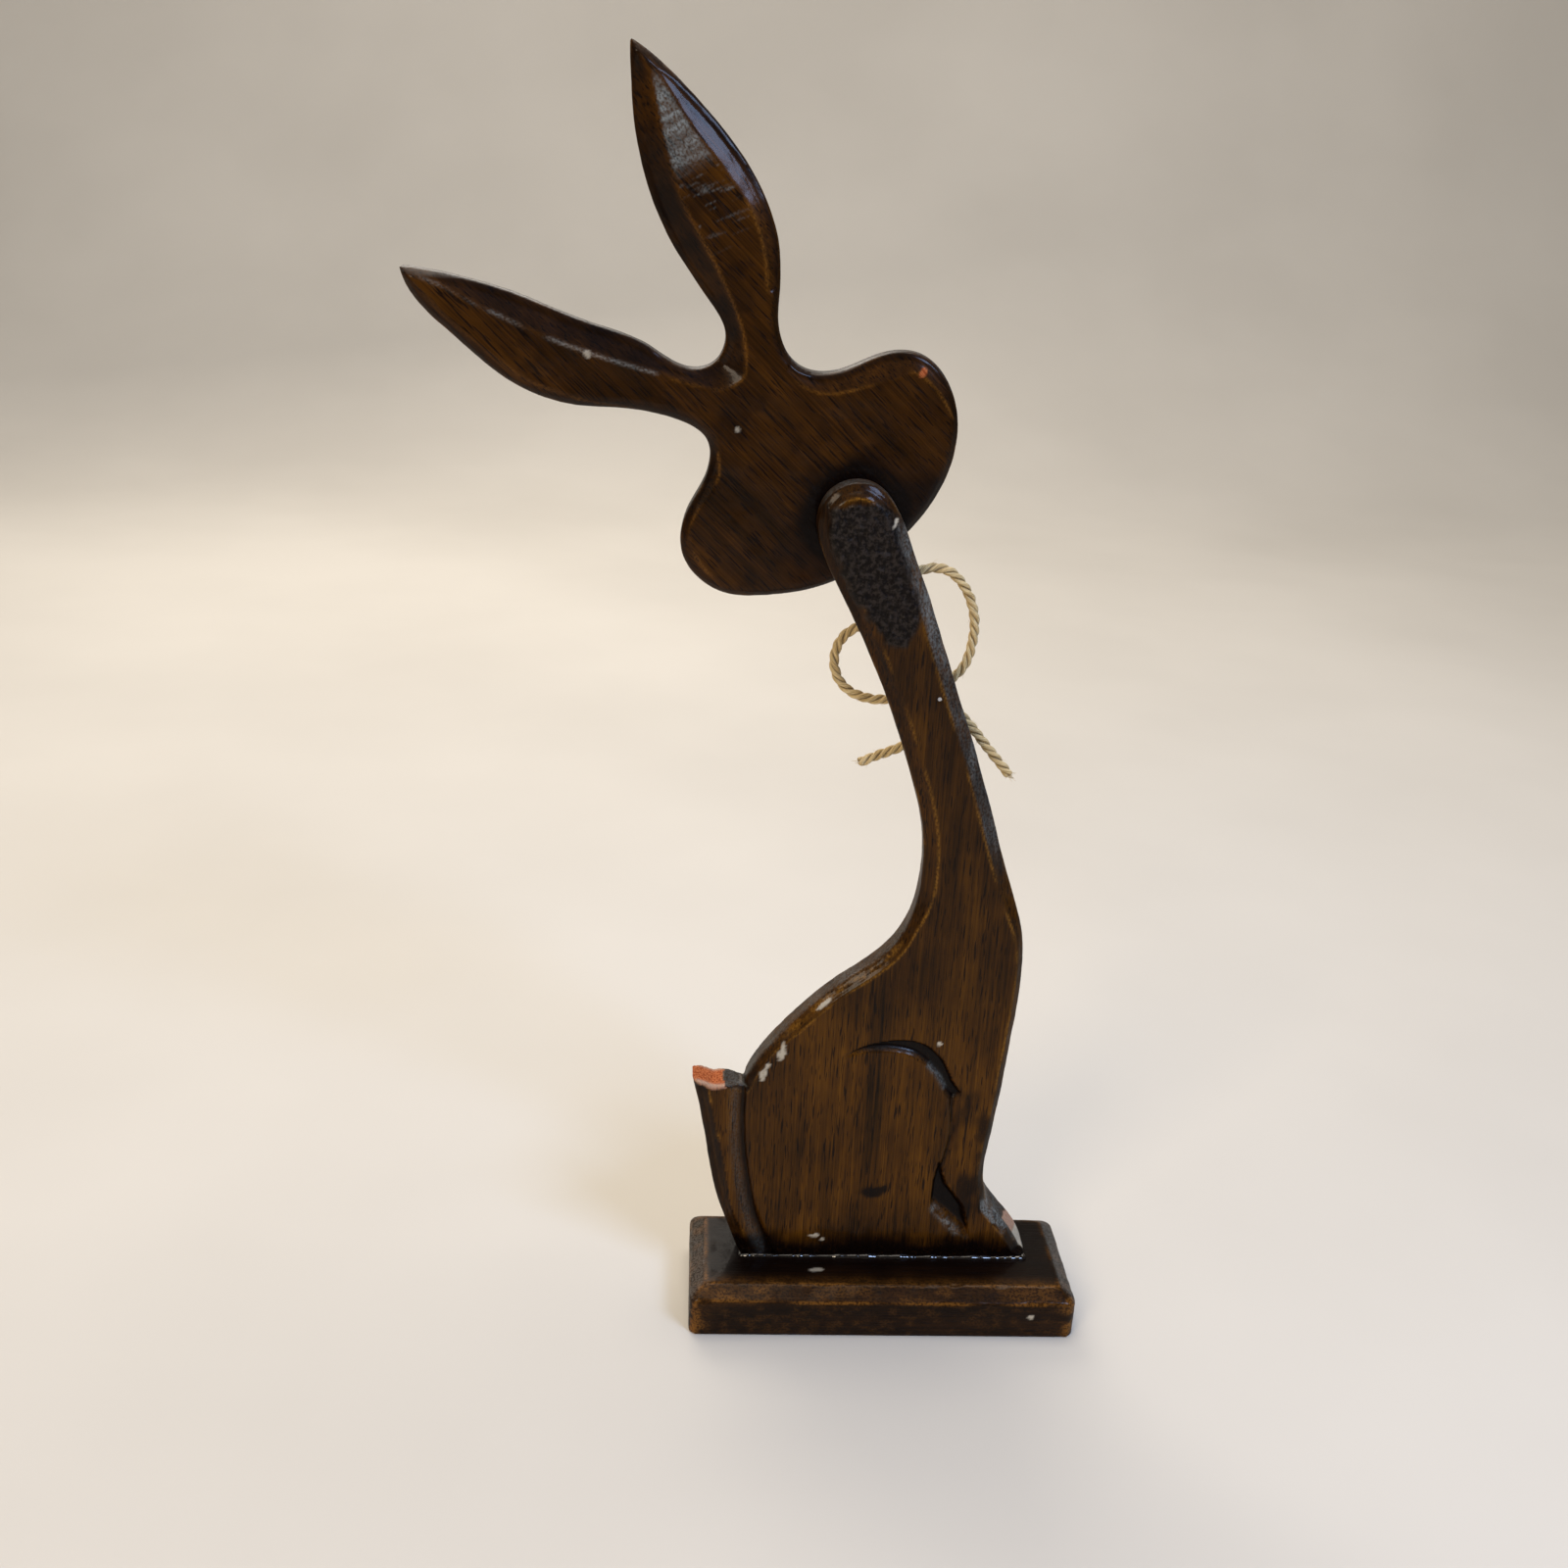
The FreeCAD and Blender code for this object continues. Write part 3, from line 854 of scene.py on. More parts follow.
@dataclass
class Studio:
    """The camera, the lights, and a pale floor that rises behind the object."""

    eye: Point = (0.0733, 0.4687, 0.3701)
    turns: Point = (69.131, -2.854, 177.248)  # degrees about X, Y and Z from looking straight down
    focal: float = 37.125  # millimetres, on a sensor 36 mm wide
    floor_half: float = 4.0
    backdrop_y: float = -2.2
    backdrop_bend: float = 0.9
    floor_paint: PlainFinish = PlainFinish(
        "matt_floor_paint", "#cdc8bf", "#c6c1b8", (400.0, 400.0, 400.0), 0.85, relief=0.05
    )
    middle: Point = (0.0, 0.0, 0.18)
    lamps: tuple[Lamp, ...] = (
        Lamp("overhead", (0.30, -0.10, 1.6), middle, 1.3, 10.0, "#fff6ea"),
        Lamp("key_left", (0.95, 1.35, 1.05), middle, 0.6, 15.0, "#ffecd2"),
        Lamp("window_right", (-0.65, 0.77, 1.12), (0.05, 0.0, 0.33), 0.42, 13.0, "#b4d0ff"),
        Lamp("front_fill", (0.4, -1.2, 1.0), middle, 0.9, 9.0, "#fff6ea"),
        Lamp("backdrop", (0.0, -0.6, 2.6), (0.0, -2.2, 0.5), 1.6, 34.0, "#fff8ee"),
    )
    room: str = "#d8d4cc"
    room_strength: float = 0.14

    def camera(self) -> None:
        """Stands the camera behind the rabbit, a little above it and looking down."""
        lens = bpy.data.cameras.new("camera")
        lens.lens = self.focal
        lens.sensor_width = 36.0
        lens.clip_start = 0.01
        lens.clip_end = 50.0
        camera = bpy.data.objects.new("camera", lens)
        turn = Euler([math.radians(angle) for angle in self.turns]).to_quaternion()
        camera.matrix_world = Matrix.LocRotScale(Vector(self.eye), turn, None)
        bpy.context.scene.collection.objects.link(camera)
        bpy.context.scene.camera = camera

    def floor(self) -> None:
        """Lays the floor as one sheet: flat to the bend, then a quarter circle, then upright."""
        flat = np.linspace(self.floor_half, self.backdrop_y + self.backdrop_bend, 24)
        turn = np.linspace(0, np.pi / 2, 16)[1:]
        y = np.concatenate([flat, self.backdrop_y + self.backdrop_bend * (1 - np.sin(turn))])
        z = np.concatenate([np.zeros(len(flat)), self.backdrop_bend * (1 - np.cos(turn))])
        y = np.append(y, self.backdrop_y)
        z = np.append(z, self.floor_half)
        x = np.linspace(-self.floor_half, self.floor_half, 24)
        points = np.stack([np.tile(x, len(y)), np.repeat(y, len(x)), np.repeat(z, len(x))], 1)
        i, j = np.meshgrid(np.arange(len(y) - 1), np.arange(len(x) - 1), indexing="ij")
        first = (i * len(x) + j).ravel()
        faces = np.stack([first, first + len(x), first + len(x) + 1, first + 1], 1)
        sheet = mesh_piece("floor", points / MM, faces)
        sheet.data.materials.append(self.floor_paint.make())

    def lights(self) -> None:
        """Hangs a warm light above left, a cool window at the right, and low fill all round."""
        for lamp in self.lamps:
            lamp.hang()
        world = bpy.data.worlds.new("room")
        world.use_nodes = True
        tree = world.node_tree
        tree.nodes.clear()
        inputs = {"Color": linear(self.room), "Strength": self.room_strength}
        glow = add(tree, "ShaderNodeBackground", {}, inputs)
        add(tree, "ShaderNodeOutputWorld", {}, {"Surface": glow.outputs[0]})
        bpy.context.scene.world = world
        bpy.context.scene.view_settings.view_transform = "Standard"


# ---- the twine bow --------------------------------------------------------------------------


@dataclass
class Strand:
    """One run of the bow: its route, its real length, and what it ends in."""

    node: str
    route: Route
    length: float  # millimetres
    ends_in: str
    fray: int = 0  # loose fibres at its free end


@dataclass
class TwineBow:
    """The bow of one length of twine: two loops, two tails and the knot, tacked to the neck."""

    diameter: float = 3.2
    plies: int = 3
    ply_radius: float = 0.75
    lay_radius: float = 0.86
    pitch: float = 10.4  # length of one full turn of a ply
    step: float = 0.3
    around: int = 12
    gap: float = 0.25
    neck_front: float = float(BODY_LOW[1])
    knot: Point = (-3.9, 204.4)
    knot_size: Point = (8.6, 7.0, 9.6)
    finish: TwistedFibre = TwistedFibre("unbleached_twisted_twine")
    strands: list[Strand] = field(default_factory=list)

    def __post_init__(self) -> None:
        """Sets the routes, as (across, away from the neck's front, above the plinth's top)."""
        low = self.diameter / 2 + self.gap
        high = low + self.diameter + self.gap
        loop_right = [
            (-2.8, low, 206.6), (3.6, low, 215.0), (9.9, low, 224.2), (9.4, low + 0.3, 233.8),
            (4.0, low + 0.6, 241.1), (-4.7, low + 1.0, 242.1), (-11.4, low + 1.4, 236.2),
            (-15.2, low + 1.4, 227.2), (-15.0, low + 1.0, 216.8), (-12.0, low + 0.4, 208.2),
            (-5.6, low + 0.6, 204.2),
        ]
        loop_left = [
            (-2.4, high, 206.4), (3.6, high, 215.2), (11.8, high, 221.9), (21.6, high - 0.6, 222.4),
            (27.6, high - 1.2, 215.8), (27.5, high - 2.0, 206.4), (20.6, high - 2.8, 199.8),
            (8.8, low + 0.4, 198.9), (-1.6, low + 0.8, 203.0),
        ]
        tail_left = [
            (-4.5, low + 0.6, 200.9), (-3.6, low + 0.2, 191.4), (3.0, low, 184.6),
            (10.8, low, 181.6), (17.8, low, 178.3),
        ]
        tail_right = [
            (-6.4, high - 1.4, 203.0), (-11.6, low + 1.2, 197.0), (-18.0, low, 190.3),
            (-24.2, low - 0.4, 182.8), (-30.2, low - 1.0, 176.2),
        ]
        self.strands = [
            Strand("bow_loop_right", loop_right, 92.5, "object"),
            Strand("bow_loop_left", loop_left, 79.4, "object"),
            Strand("bow_tail_left", tail_left, 34.5, "bare", 14),
            Strand("bow_tail_right", tail_right, 36.0, "bare", 46),
        ]

    def placed(self, route: Route) -> Array:
        """The route's points in the row frame, in millimetres."""
        x, away, rise = np.array(route, float).T
        return np.stack([x, self.neck_front - away, rise + PLINTH_TOP], 1)

    def line(self, name: str, route: Array) -> Array:
        """Evenly spaced points read from the route's own smooth spline.

        Args:
            name: a name for the spline.
            route: its control points in millimetres.

        Returns:
            Points a step apart.
        """
        curve = bpy.data.curves.new(name, "CURVE")
        curve.dimensions = "3D"
        spline = curve.splines.new("NURBS")
        spline.points.add(len(route) - 1)
        for knob, spot in zip(spline.points, route * MM):
            knob.co = (*spot, 1.0)
        spline.order_u = 3
        spline.use_endpoint_u = True
        curve.resolution_u = 24
        holder = bpy.data.objects.new(name, curve)
        bpy.context.scene.collection.objects.link(holder)
        mesh = bpy.data.meshes.new_from_object(holder)
        points = places(mesh)
        bpy.data.objects.remove(holder)
        bpy.data.meshes.remove(mesh)
        travelled = np.concatenate([[0], np.cumsum(np.linalg.norm(np.diff(points, axis=0), axis=1))])
        even = np.linspace(0, travelled[-1], max(8, round(travelled[-1] / self.step)))
        return np.stack([np.interp(even, travelled, points[:, axis]) for axis in range(3)], 1)

    def plied(self, path: Array, up: Point, seed: int, swell: Array | None = None) -> Surface:
        """Lays the plies round a path.

        A ply's centre is the path plus the lay radius at an angle that grows by a full turn each
        pitch, with a slow wander so that the twine looks spun by hand.

        Args:
            path: the path's points.
            up: a direction that the path never follows.
            seed: which wander.
            swell: a share of the full size at each point, or None.

        Returns:
            Points, faces and pairs.
        """
        tangent = np.gradient(path, axis=0)
        tangent /= np.linalg.norm(tangent, axis=1)[:, None]
        side = np.cross(tangent, up)
        side /= np.linalg.norm(side, axis=1)[:, None]
        rise = np.cross(side, tangent)
        travelled = np.concatenate([[0], np.cumsum(np.linalg.norm(np.diff(path, axis=0), axis=1))])
        size = np.ones(len(path)) if swell is None else swell
        parts = []
        for ply in range(self.plies):
            spot = np.stack([travelled, np.full(len(path), 7.3 * ply), np.full(len(path), 3.1 * seed)], 1)
            angle = 2 * np.pi * (travelled / self.pitch + ply / self.plies) + 0.22 * lumps(spot, 5.0, 11)
            offset = self.lay_radius * size * (1 + 0.08 * lumps(spot, 4.0, 12))
            centre = path + offset[:, None] * (np.cos(angle)[:, None] * side + np.sin(angle)[:, None] * rise)
            radius = self.ply_radius * size * (1 + 0.09 * lumps(spot, 3.0, 13))
            radius[[0, -1]] *= 0.7
            radius[[1, -2]] *= 0.92
            parts.append(sweep(centre, radius, up, self.around, ply))
        return joined(parts)

    def hairs(self, spot: Array, way: Array, count: int, longest: float, spread: float, seed: int) -> Surface:
        """Loose fibres that leave a spot in a spray.

        Each bends in a curve: spot plus length times way plus length squared times its own lean.

        Args:
            spot: where they start.
            way: the main direction.
            count: how many.
            longest: the longest, in millimetres.
            spread: how widely they part.
            seed: which set.

        Returns:
            Points, faces and pairs.
        """
        chance = np.random.default_rng(seed)
        share = np.linspace(0, 1, 7)[:, None]
        parts = []
        for _ in range(count):
            start = spot + chance.normal(0, 0.45, 3)
            lean = way + chance.normal(0, spread, 3)
            bend = chance.normal(0, 0.5 * spread, 3)
            size = longest * chance.uniform(0.35, 1.0)
            path = start + size * (share * lean + share**2 * bend)
            radii = 0.085 * (1 - 0.6 * share[:, 0])
            parts.append(sweep(path, radii, (0.13, 0.97, 0.21), 5))
        return joined(parts)

    def fuzz(self, path: Array, count: int, seed: int) -> Surface:
        """Single fibres that stand off a strand along its length.

        Each leaves the strand's outside and bends along it: start plus size times (share times
        its way plus share squared times its bend).

        Args:
            path: the strand's points.
            count: how many.
            seed: which set.

        Returns:
            Points, faces and pairs.
        """
        chance = np.random.default_rng(seed)
        share = np.linspace(0, 1, 6)[:, None]
        parts = []
        for place in chance.integers(6, len(path) - 6, count):
            way = path[place + 3] - path[place - 3]
            way /= np.linalg.norm(way)
            out = np.cross(way, chance.normal(0, 1, 3))
            out /= np.linalg.norm(out)
            start = path[place] + out * 1.35
            size = chance.uniform(0.8, 2.2)
            bend = chance.normal(0, 0.25, 3)
            curve = start + size * (share * (0.75 * way + 0.5 * out) + share**2 * bend)
            parts.append(sweep(curve, 0.05 * (1 - 0.5 * share[:, 0]), (0.13, 0.97, 0.21), 4))
        return joined(parts)

    def valleys(self, piece: bpy.types.Object, path: Array) -> None:
        """Marks how deep each point lies between the plies, 0 outside to 1 near the middle; the finish paints
        shade by it.
        """
        points = places(piece.data)
        nearest = np.full(len(points), np.inf)
        for spot in path[::2]:
            np.minimum(nearest, ((points - spot) ** 2).sum(1), out=nearest)
        deep = 1 - ease(np.sqrt(nearest), 0.9, 1.35)
        layer = piece.data.attributes.new("valley", "FLOAT", "POINT")
        layer.data.foreach_set("value", deep.astype(np.float32))

    def build(self) -> list[bpy.types.Object]:
        """Returns:
            The pieces.
        """
        material = self.finish.make()
        pieces = []
        for turn, strand in enumerate(self.strands):
            route = self.placed(strand.route)
            path = self.line(strand.node + "_route", route)
            piece = mesh_piece(strand.node + "_twine", *self.plied(path, (0.0, 1.0, 0.0), turn))
            self.valleys(piece, path)
            loose = [self.fuzz(path, 26, 40 + turn)]
            if strand.fray:
                way = path[-1] - path[-5]
                way /= np.linalg.norm(way)
                spread = 0.3 + 0.004 * strand.fray
                loose.append(self.hairs(path[-1] - 0.6 * way, way, strand.fray, 1.9, spread, 60 + turn))
            fibres = mesh_piece(strand.node + "_fibres", *joined(loose))
            for made in (piece, fibres):
                made.data.materials.append(material)
                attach(made, "stand")
            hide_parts(strand.node)
            pieces += [piece, fibres]
        pieces.append(self.tied(material))
        return pieces

    def tied(self, material: bpy.types.Material) -> bpy.types.Object:
        """The knot: the twine wound twice round the crossing, its ends tucked inside.

        The path's angle about the X axis grows by two and a quarter turns while it moves across,
        on an oval that the knot's size leaves room for; near its ends the oval shrinks.

        Args:
            material: the twine's finish.

        Returns:
            The knot.
        """
        share = np.linspace(0, 1, 150)
        angle = 2 * np.pi * (2.25 * share + 0.35)
        tuck = 0.25 + 0.75 * ease(share, 0.0, 0.12) * (1 - ease(share, 0.88, 1.0))
        half_depth = self.knot_size[1] / 2 - self.diameter / 2
        half_height = self.knot_size[2] / 2 - self.diameter / 2
        x = self.knot[0] + (share - 0.5) * 4.4 + 0.5 * np.sin(angle)
        y = self.neck_front - self.knot_size[1] / 2 + half_depth * tuck * np.cos(angle)
        z = PLINTH_TOP + self.knot[1] + half_height * tuck * np.sin(angle)
        path = np.stack([x, y, z], 1)
        parts = [self.plied(path, (1.0, 0.0, 0.0), 9)]
        core = np.linspace(-1, 1, 24)
        middle = np.array([self.knot[0], self.neck_front - self.knot_size[1] / 2, PLINTH_TOP + self.knot[1]])
        spine = middle + core[:, None] * np.array([3.0, 0.0, 0.6])
        parts.append(self.plied(spine, (0.0, 1.0, 0.0), 10, 0.55 + 0.75 * np.sqrt(1.001 - core**2)))
        piece = mesh_piece("bow_knot_twine", *joined(parts))
        self.valleys(piece, np.vstack([path, spine]))
        piece.data.materials.append(material)
        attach(piece, "stand")
        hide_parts("bow_knot")
        return piece


# ---- the boards -----------------------------------------------------------------------------


@dataclass
class Facet:
    """A flat cut that falls away on one side of a ridge line."""

    ridge: Route
    side: int  # 1 falls on the left of the ridge's way, -1 on its right
    slope: float
    widest: float = 14.0  # beyond this distance the cut doesn't reach

    def drop(self, spots: Array) -> Array:
        """How far the cut lies under the board's face at each spot: slope times the distance."""
        distance, side = reach(spots, smooth_line(self.ridge))
        fades = 1 - ease(distance, self.widest * 0.8, self.widest)
        return self.slope * np.where(side == self.side, distance, 0.0) * fades


def thinned(skin: Skin, drop: Array, middle: float, half: float) -> None:
    """Brings a board's faces in by a drop, with its walls squeezed in step so that nothing folds.

    The distance from the board's middle plane is scaled by one minus the drop over half the
    thickness.

    Args:
        skin: the board.
        drop: the drop at each point, in millimetres.
        middle: the middle plane's Y.
        half: half the thickness.
    """
    skin.points[:, 1] = middle + (skin.points[:, 1] - middle) * (1 - drop / half)


@dataclass(frozen=True)
class Flake:
    """A ragged oval where the lacquer came off."""

    x: float
    rise: float
    wide: float  # half its width
    high: float  # half its height
    turn: float = 0.0  # degrees

    def share(self, spots: Array, ragged: Array) -> Array:
        """1 inside the oval and 0 outside, with its edge moved in and out by the ragged heights."""
        c, s = math.cos(math.radians(self.turn)), math.sin(math.radians(self.turn))
        across, up = (spots - np.array([self.x, self.rise])).T
        gap = np.hypot((across * c + up * s) / self.wide, (up * c - across * s) / self.high)
        return 1 - ease(gap + ragged, 0.75, 1.1)


@dataclass
class BodyBoard:
    """The board with the haunch, the tail stub, the paw and the long neck."""

    voxel: float = 0.6
    carve_depth: float = 2.0
    deepest: float = 3.4  # the most that any cut takes from a face
    finish: StainedWood = StainedWood("walnut_stained_hardwood_body")
    tack: Point = (-3.9, 221.7)
    tack_hole: float = 0.65
    haunch: Route = (
        (-22.8, 66.5), (-20.0, 70.2), (-15.5, 79.0), (-9.0, 84.6), (-0.5, 85.9), (10.0, 83.9), (19.0, 78.7),
    )
    haunch_inner: Route = (
        (19.0, 78.7), (10.5, 81.3), (2.0, 81.7), (-6.0, 79.8), (-12.0, 74.6), (-16.6, 67.0), (-19.6, 62.4),
    )
    pocket: Route = (
        (-16.0, 20.6), (-16.4, 32.0), (-17.9, 40.5), (-19.0, 35.0), (-20.8, 30.0), (-24.6, 25.2),
        (-27.4, 21.2), (-29.0, 15.2), (-30.3, 7.2),
    )
    lip: Route = ((-30.3, 7.2), (-16.0, 20.6))
    # where painted glints of the blue-grey sheen run: the pocket's lip and the gouge's inner wall
    lip_shine: Route = ((-17.2, 20.2), (-20.2, 17.0), (-23.3, 13.6), (-25.8, 11.0))
    gouge_shine: Route = ((-11.0, 76.6), (-14.6, 72.4), (-17.0, 68.2))
    leg_line: Route = ((-19.8, 63.5), (-20.8, 52.0), (-19.8, 42.0), (-18.3, 35.0))
    leg_low: float = 30.0
    leg_high: float = 66.0
    tail_line: Route = ((49.9, 70.0), (49.6, 52.0), (47.9, 35.9), (43.6, 16.1), (36.0, -1.0))
    tail_ridge: Route = (
        (62.3, 68.0), (59.5, 55.0), (56.3, 41.2), (54.0, 29.2), (52.2, 19.3), (46.6, 6.0), (44.0, 0.0),
    )
    tail_rim: Route = ((67.3, 70.0), (60.0, 67.2), (56.5, 67.8), (50.3, 67.0))
    bare_from: float = 56.6  # the break is bare wood beyond this, stained before it
    wide_bevel: float = 2.0  # how much wider the neck's bevels are than the board's
    paw_lean: float = 3.0  # how far the paw's near edge is pared inwards
    crust: Route = (
        (33.0, 260.5), (24.4, 263.2), (16.3, 262.6), (11.2, 251.0), (6.2, 238.0), (4.6, 229.8), (6.9, 221.8),
        (11.8, 220.6), (16.8, 225.2), (24.8, 236.5), (29.4, 245.4), (33.0, 254.1), (33.0, 260.5),
    )
    flakes: tuple[Flake, ...] = (
        Flake(38.2, 80.2, 1.5, 3.2, 17.0),
        Flake(43.8, 72.4, 1.2, 2.4, 14.0),
        Flake(42.4, 75.6, 0.7, 1.3, 20.0),
        Flake(-14.0, 85.2, 0.8, 0.8),
        Flake(24.8, 98.8, 3.2, 0.6, 136.0),
        Flake(23.6, 8.7, 2.2, 0.8),
        Flake(20.4, 7.2, 1.0, 0.7),
        Flake(13.4, 257.4, 0.7, 1.6, 25.0),
    )

    def closed_cuts(self, points: Array) -> Array:
        """Draws the tack's hole to a line and lifts the grooves' floors back to the faces.

        Args:
            points: the CAD copy's points.

        Returns:
            The same points, moved.
        """
        for level, floor in (
            (BODY_HIGH[1], BODY_HIGH[1] - self.carve_depth),
            (BODY_LOW[1], BODY_LOW[1] + self.carve_depth),
        ):
            points[np.abs(points[:, 1] - floor) < 0.002, 1] = level
        rim = np.hypot(*(points[:, [0, 2]] - self.tack).T) < self.tack_hole
        points[rim, 0], points[rim, 2] = self.tack
        return points

    def gouged(self, spots: Array) -> tuple[Array, Array]:
        """The depth of the hand-cut grooves.

        The haunch is a gouge whose outer wall is steep and whose inner wall is easy; the pocket
        behind the leg falls from an easy lip; the tail line falls from a wide easy side; the leg
        line is a thin V.

        Args:
            spots: N x 2 points across and above the plinth.

        Returns:
            The depth, and how much painted shade lies in it.
        """
        rise = spots[:, 1]
        outer, inner = smooth_line(self.haunch), smooth_line(self.haunch_inner)
        in_haunch = within(spots, np.vstack([outer, inner[1:-1]]))
        from_outer, _ = reach(spots, outer)
        from_inner, _ = reach(spots, inner)
        haunch = 2.1 * in_haunch * ease(from_outer, -0.3, 0.9) * ease(from_inner, -0.4, 1.9)
        outline = np.array([*self.pocket, self.pocket[0]], float)
        in_pocket = within(spots, outline)
        from_walls, _ = reach(spots, outline)
        from_lip, _ = reach(spots, np.array(self.lip, float))
        pocket = 2.4 * in_pocket * ease(from_walls, -0.3, 0.9) * ease(from_lip, -0.4, 3.6)
        from_leg, leg_side = reach(spots, smooth_line(self.leg_line))
        along_leg = (rise > self.leg_low) & (rise < self.leg_high)
        leg = along_leg * (1.15 * bell(from_leg, 0.75) + 0.45 * (leg_side < 0) * np.exp(-from_leg / 3.0))
        from_tail, tail_side = reach(spots, smooth_line(self.tail_line))
        easy, steep = np.clip(1 - from_tail / 5.2, 0, 1), np.clip(1 - from_tail / 0.9, 0, 1)
        tail = 2.1 * np.where(tail_side > 0, easy, steep)
        tail_shade = np.where(tail_side > 0, 1.3 + np.clip(34 - rise, 0, 34) / 11, 0.8)
        # painted shade: the grooves are darkened where shade falls in them, black in the gouge and the pocket
        dark = [
            in_haunch * ease(from_inner, 0.3, 1.1),
            in_pocket * ease(from_lip, 2.2, 3.4),
            0.8 * bell(from_leg, 0.8) * along_leg,
            0.95 * bell(from_tail, tail_shade),
        ]
        return np.maximum.reduce([haunch, pocket, leg, tail]), np.maximum.reduce(dark)

    def pared(self, spots: Array, edge: Array, depth: Array) -> Array:
        """How far both faces are brought in: the grooves, the tail's slope and the wide bevels."""
        x, rise = spots.T
        chamfer = np.clip(EDGE_CHAMFER - edge, 0, EDGE_CHAMFER)
        gap, side = reach(spots, smooth_line(self.tail_ridge))
        tail = 0.55 * np.where(side > 0, gap, 0) * (x > 40) * (rise < 72) - chamfer
        wider = self.wider(spots)
        bevel = 0.75 * np.clip(EDGE_CHAMFER + wider - edge, 0, None) * (wider > 0.05) - chamfer
        return np.clip(np.maximum.reduce([depth, tail, bevel]), 0, self.deepest)

    def wider(self, spots: Array) -> Array:
        """How much wider the bevel is than the chamfer: all round the neck and down the back's slope."""
        x, rise = spots.T
        slope = ease(rise, 80, 90) * ease(x, -8, 2)
        return self.wide_bevel * np.maximum(ease(rise, 118, 140), 0.6 * slope)

    def crusted(self, spots: Array) -> Array:
        """Where the thick dark lacquer lies on the neck's back, from 0 to 1."""
        outline = smooth_line(self.crust)
        gap, _ = reach(spots, outline)
        signed = np.where(within(spots, outline), gap, -gap)
        wander = lumps(np.column_stack([spots, np.zeros(len(spots))]), 2.6, 33)
        return ease(signed + 0.9 * wander, -1.0, 1.0)

    def broken(self, spots: Array) -> Array:
        """How much each point belongs to the broken top of the tail stub."""
        gap, _ = reach(spots, np.array(self.tail_rim, float))
        return (1 - ease(gap, 0.5, 1.4)) * (spots[:, 0] > 51)

    def build(self) -> bpy.types.Object:
        """Carves and marks the board.

        Returns:
            The finished piece.
        """
        skin = Skin("body_board", "body_carving", self.voxel, self.closed_cuts)
        skin.relax(2)
        middle, half = (BODY_LOW[1] + BODY_HIGH[1]) / 2, (BODY_HIGH[1] - BODY_LOW[1]) / 2
        edge = skin.rim_reach()
        spots = skin.points[:, [0, 2]] - [0, PLINTH_TOP]
        depth, dark = self.gouged(spots)
        thinned(skin, self.pared(spots, edge, depth), middle, half)
        ground = skin.ground(edge)
        p, rise = ground.points, ground.rise
        back = ground.normals[:, 1] > 0.6
        tar = self.crusted(spots) * back
        broken = self.broken(spots)
        waves = 0.13 * lumps(p, (9.0, 9.0, 14.0), 21) + 0.07 * lumps(p, (4.0, 4.0, 6.0), 22)
        waves += bell(edge - 1.1, 1.2) * (0.22 * lumps(p, 7.0, 23) + 0.10 * lumps(p, 2.6, 24))
        thick = 0.20 * lumps(p, 2.1, 31) + 0.22 * lumps(p, 1.25, 32) + 0.16
        from_tack = np.hypot(*(p[:, [0, 2]] - self.tack).T)
        calm = ease(from_tack, 1.2, 4.0) * ease(rise, -0.5, 1.5)
        skin.points += (calm * (waves * (1 - tar) + tar * thick))[:, None] * ground.normals
        paw = np.clip((skin.points[:, 1] + 5.5) / 9.25, 0, 1) * (1 - ease(edge, 0.5, 9.0))
        paw *= ease(-skin.points[:, 0], 31, 36) * ease(rise, 1.0, 6.0) * (1 - ease(rise, 22, 28))
        skin.points += self.paw_lean * paw[:, None] * np.array([0.61, 0.0, -0.79])
        splinters = 0.30 * lumps(p, (1.1, 1.4, 9.0), 41) + 0.15 * lumps(p, (0.8, 0.9, 5.0), 42)
        skin.points[:, 2] += broken * splinters * np.where(skin.points[:, 0] > self.bare_from, 1.0, 0.35)
        skin.points[:, 1] -= back * 0.12 * (1 - ease(from_tack, 0.9, 2.2))
        self.mark(skin, replace(ground, points=skin.points), dark, tar, broken)
        return skin.finished(self.finish.make(), "stand", "body_board")

    def mark(self, skin: Skin, ground: Ground, dark: Array, tar: Array, broken: Array) -> None:
        """Writes where the finish is worn, darker (stain, and painted shade in the grooves), bare, flaked and
        crusted, and where it carries painted sheen.

        Args:
            skin: the carved board.
            ground: its points and their directions.
            dark: the painted shade in the grooves.
            tar: the thick lacquer's share.
            broken: the break's share.
        """
        p, x, rise = ground.points, ground.x, ground.rise
        # darker towards the foot
        foot = 1 - ease(rise + 3.5 * lumps(p, (8.0, 9.0, 6.0), 61) + 1.5 * lumps(p, 2.5, 62), 4.5, 14.0)
        bare = broken * (x > self.bare_from + 0.8 * lumps(p, 2.0, 73)) * (rise > 80 - PLINTH_TOP)
        from_middle = np.abs(ground.y - (BODY_LOW[1] + BODY_HIGH[1]) / 2)
        rim = bare * bell(from_middle - 5.2, 1.0)
        toe = self.toe(ground)
        toe_bare = rise > 8.5  # above this the toe's chips reach the wood, below only the pale ground
        ragged = 0.45 * lumps(p, 1.5, 81) + 0.25 * lumps(p, 0.8, 83)
        flaked = np.maximum.reduce([flake.share(ground.spots, ragged) for flake in self.flakes])
        darker_stain_and_shade = np.maximum.reduce([self.darker_stain_and_shade(ground), foot, dark])
        stained_break = 0.75 * broken * (x <= self.bare_from)
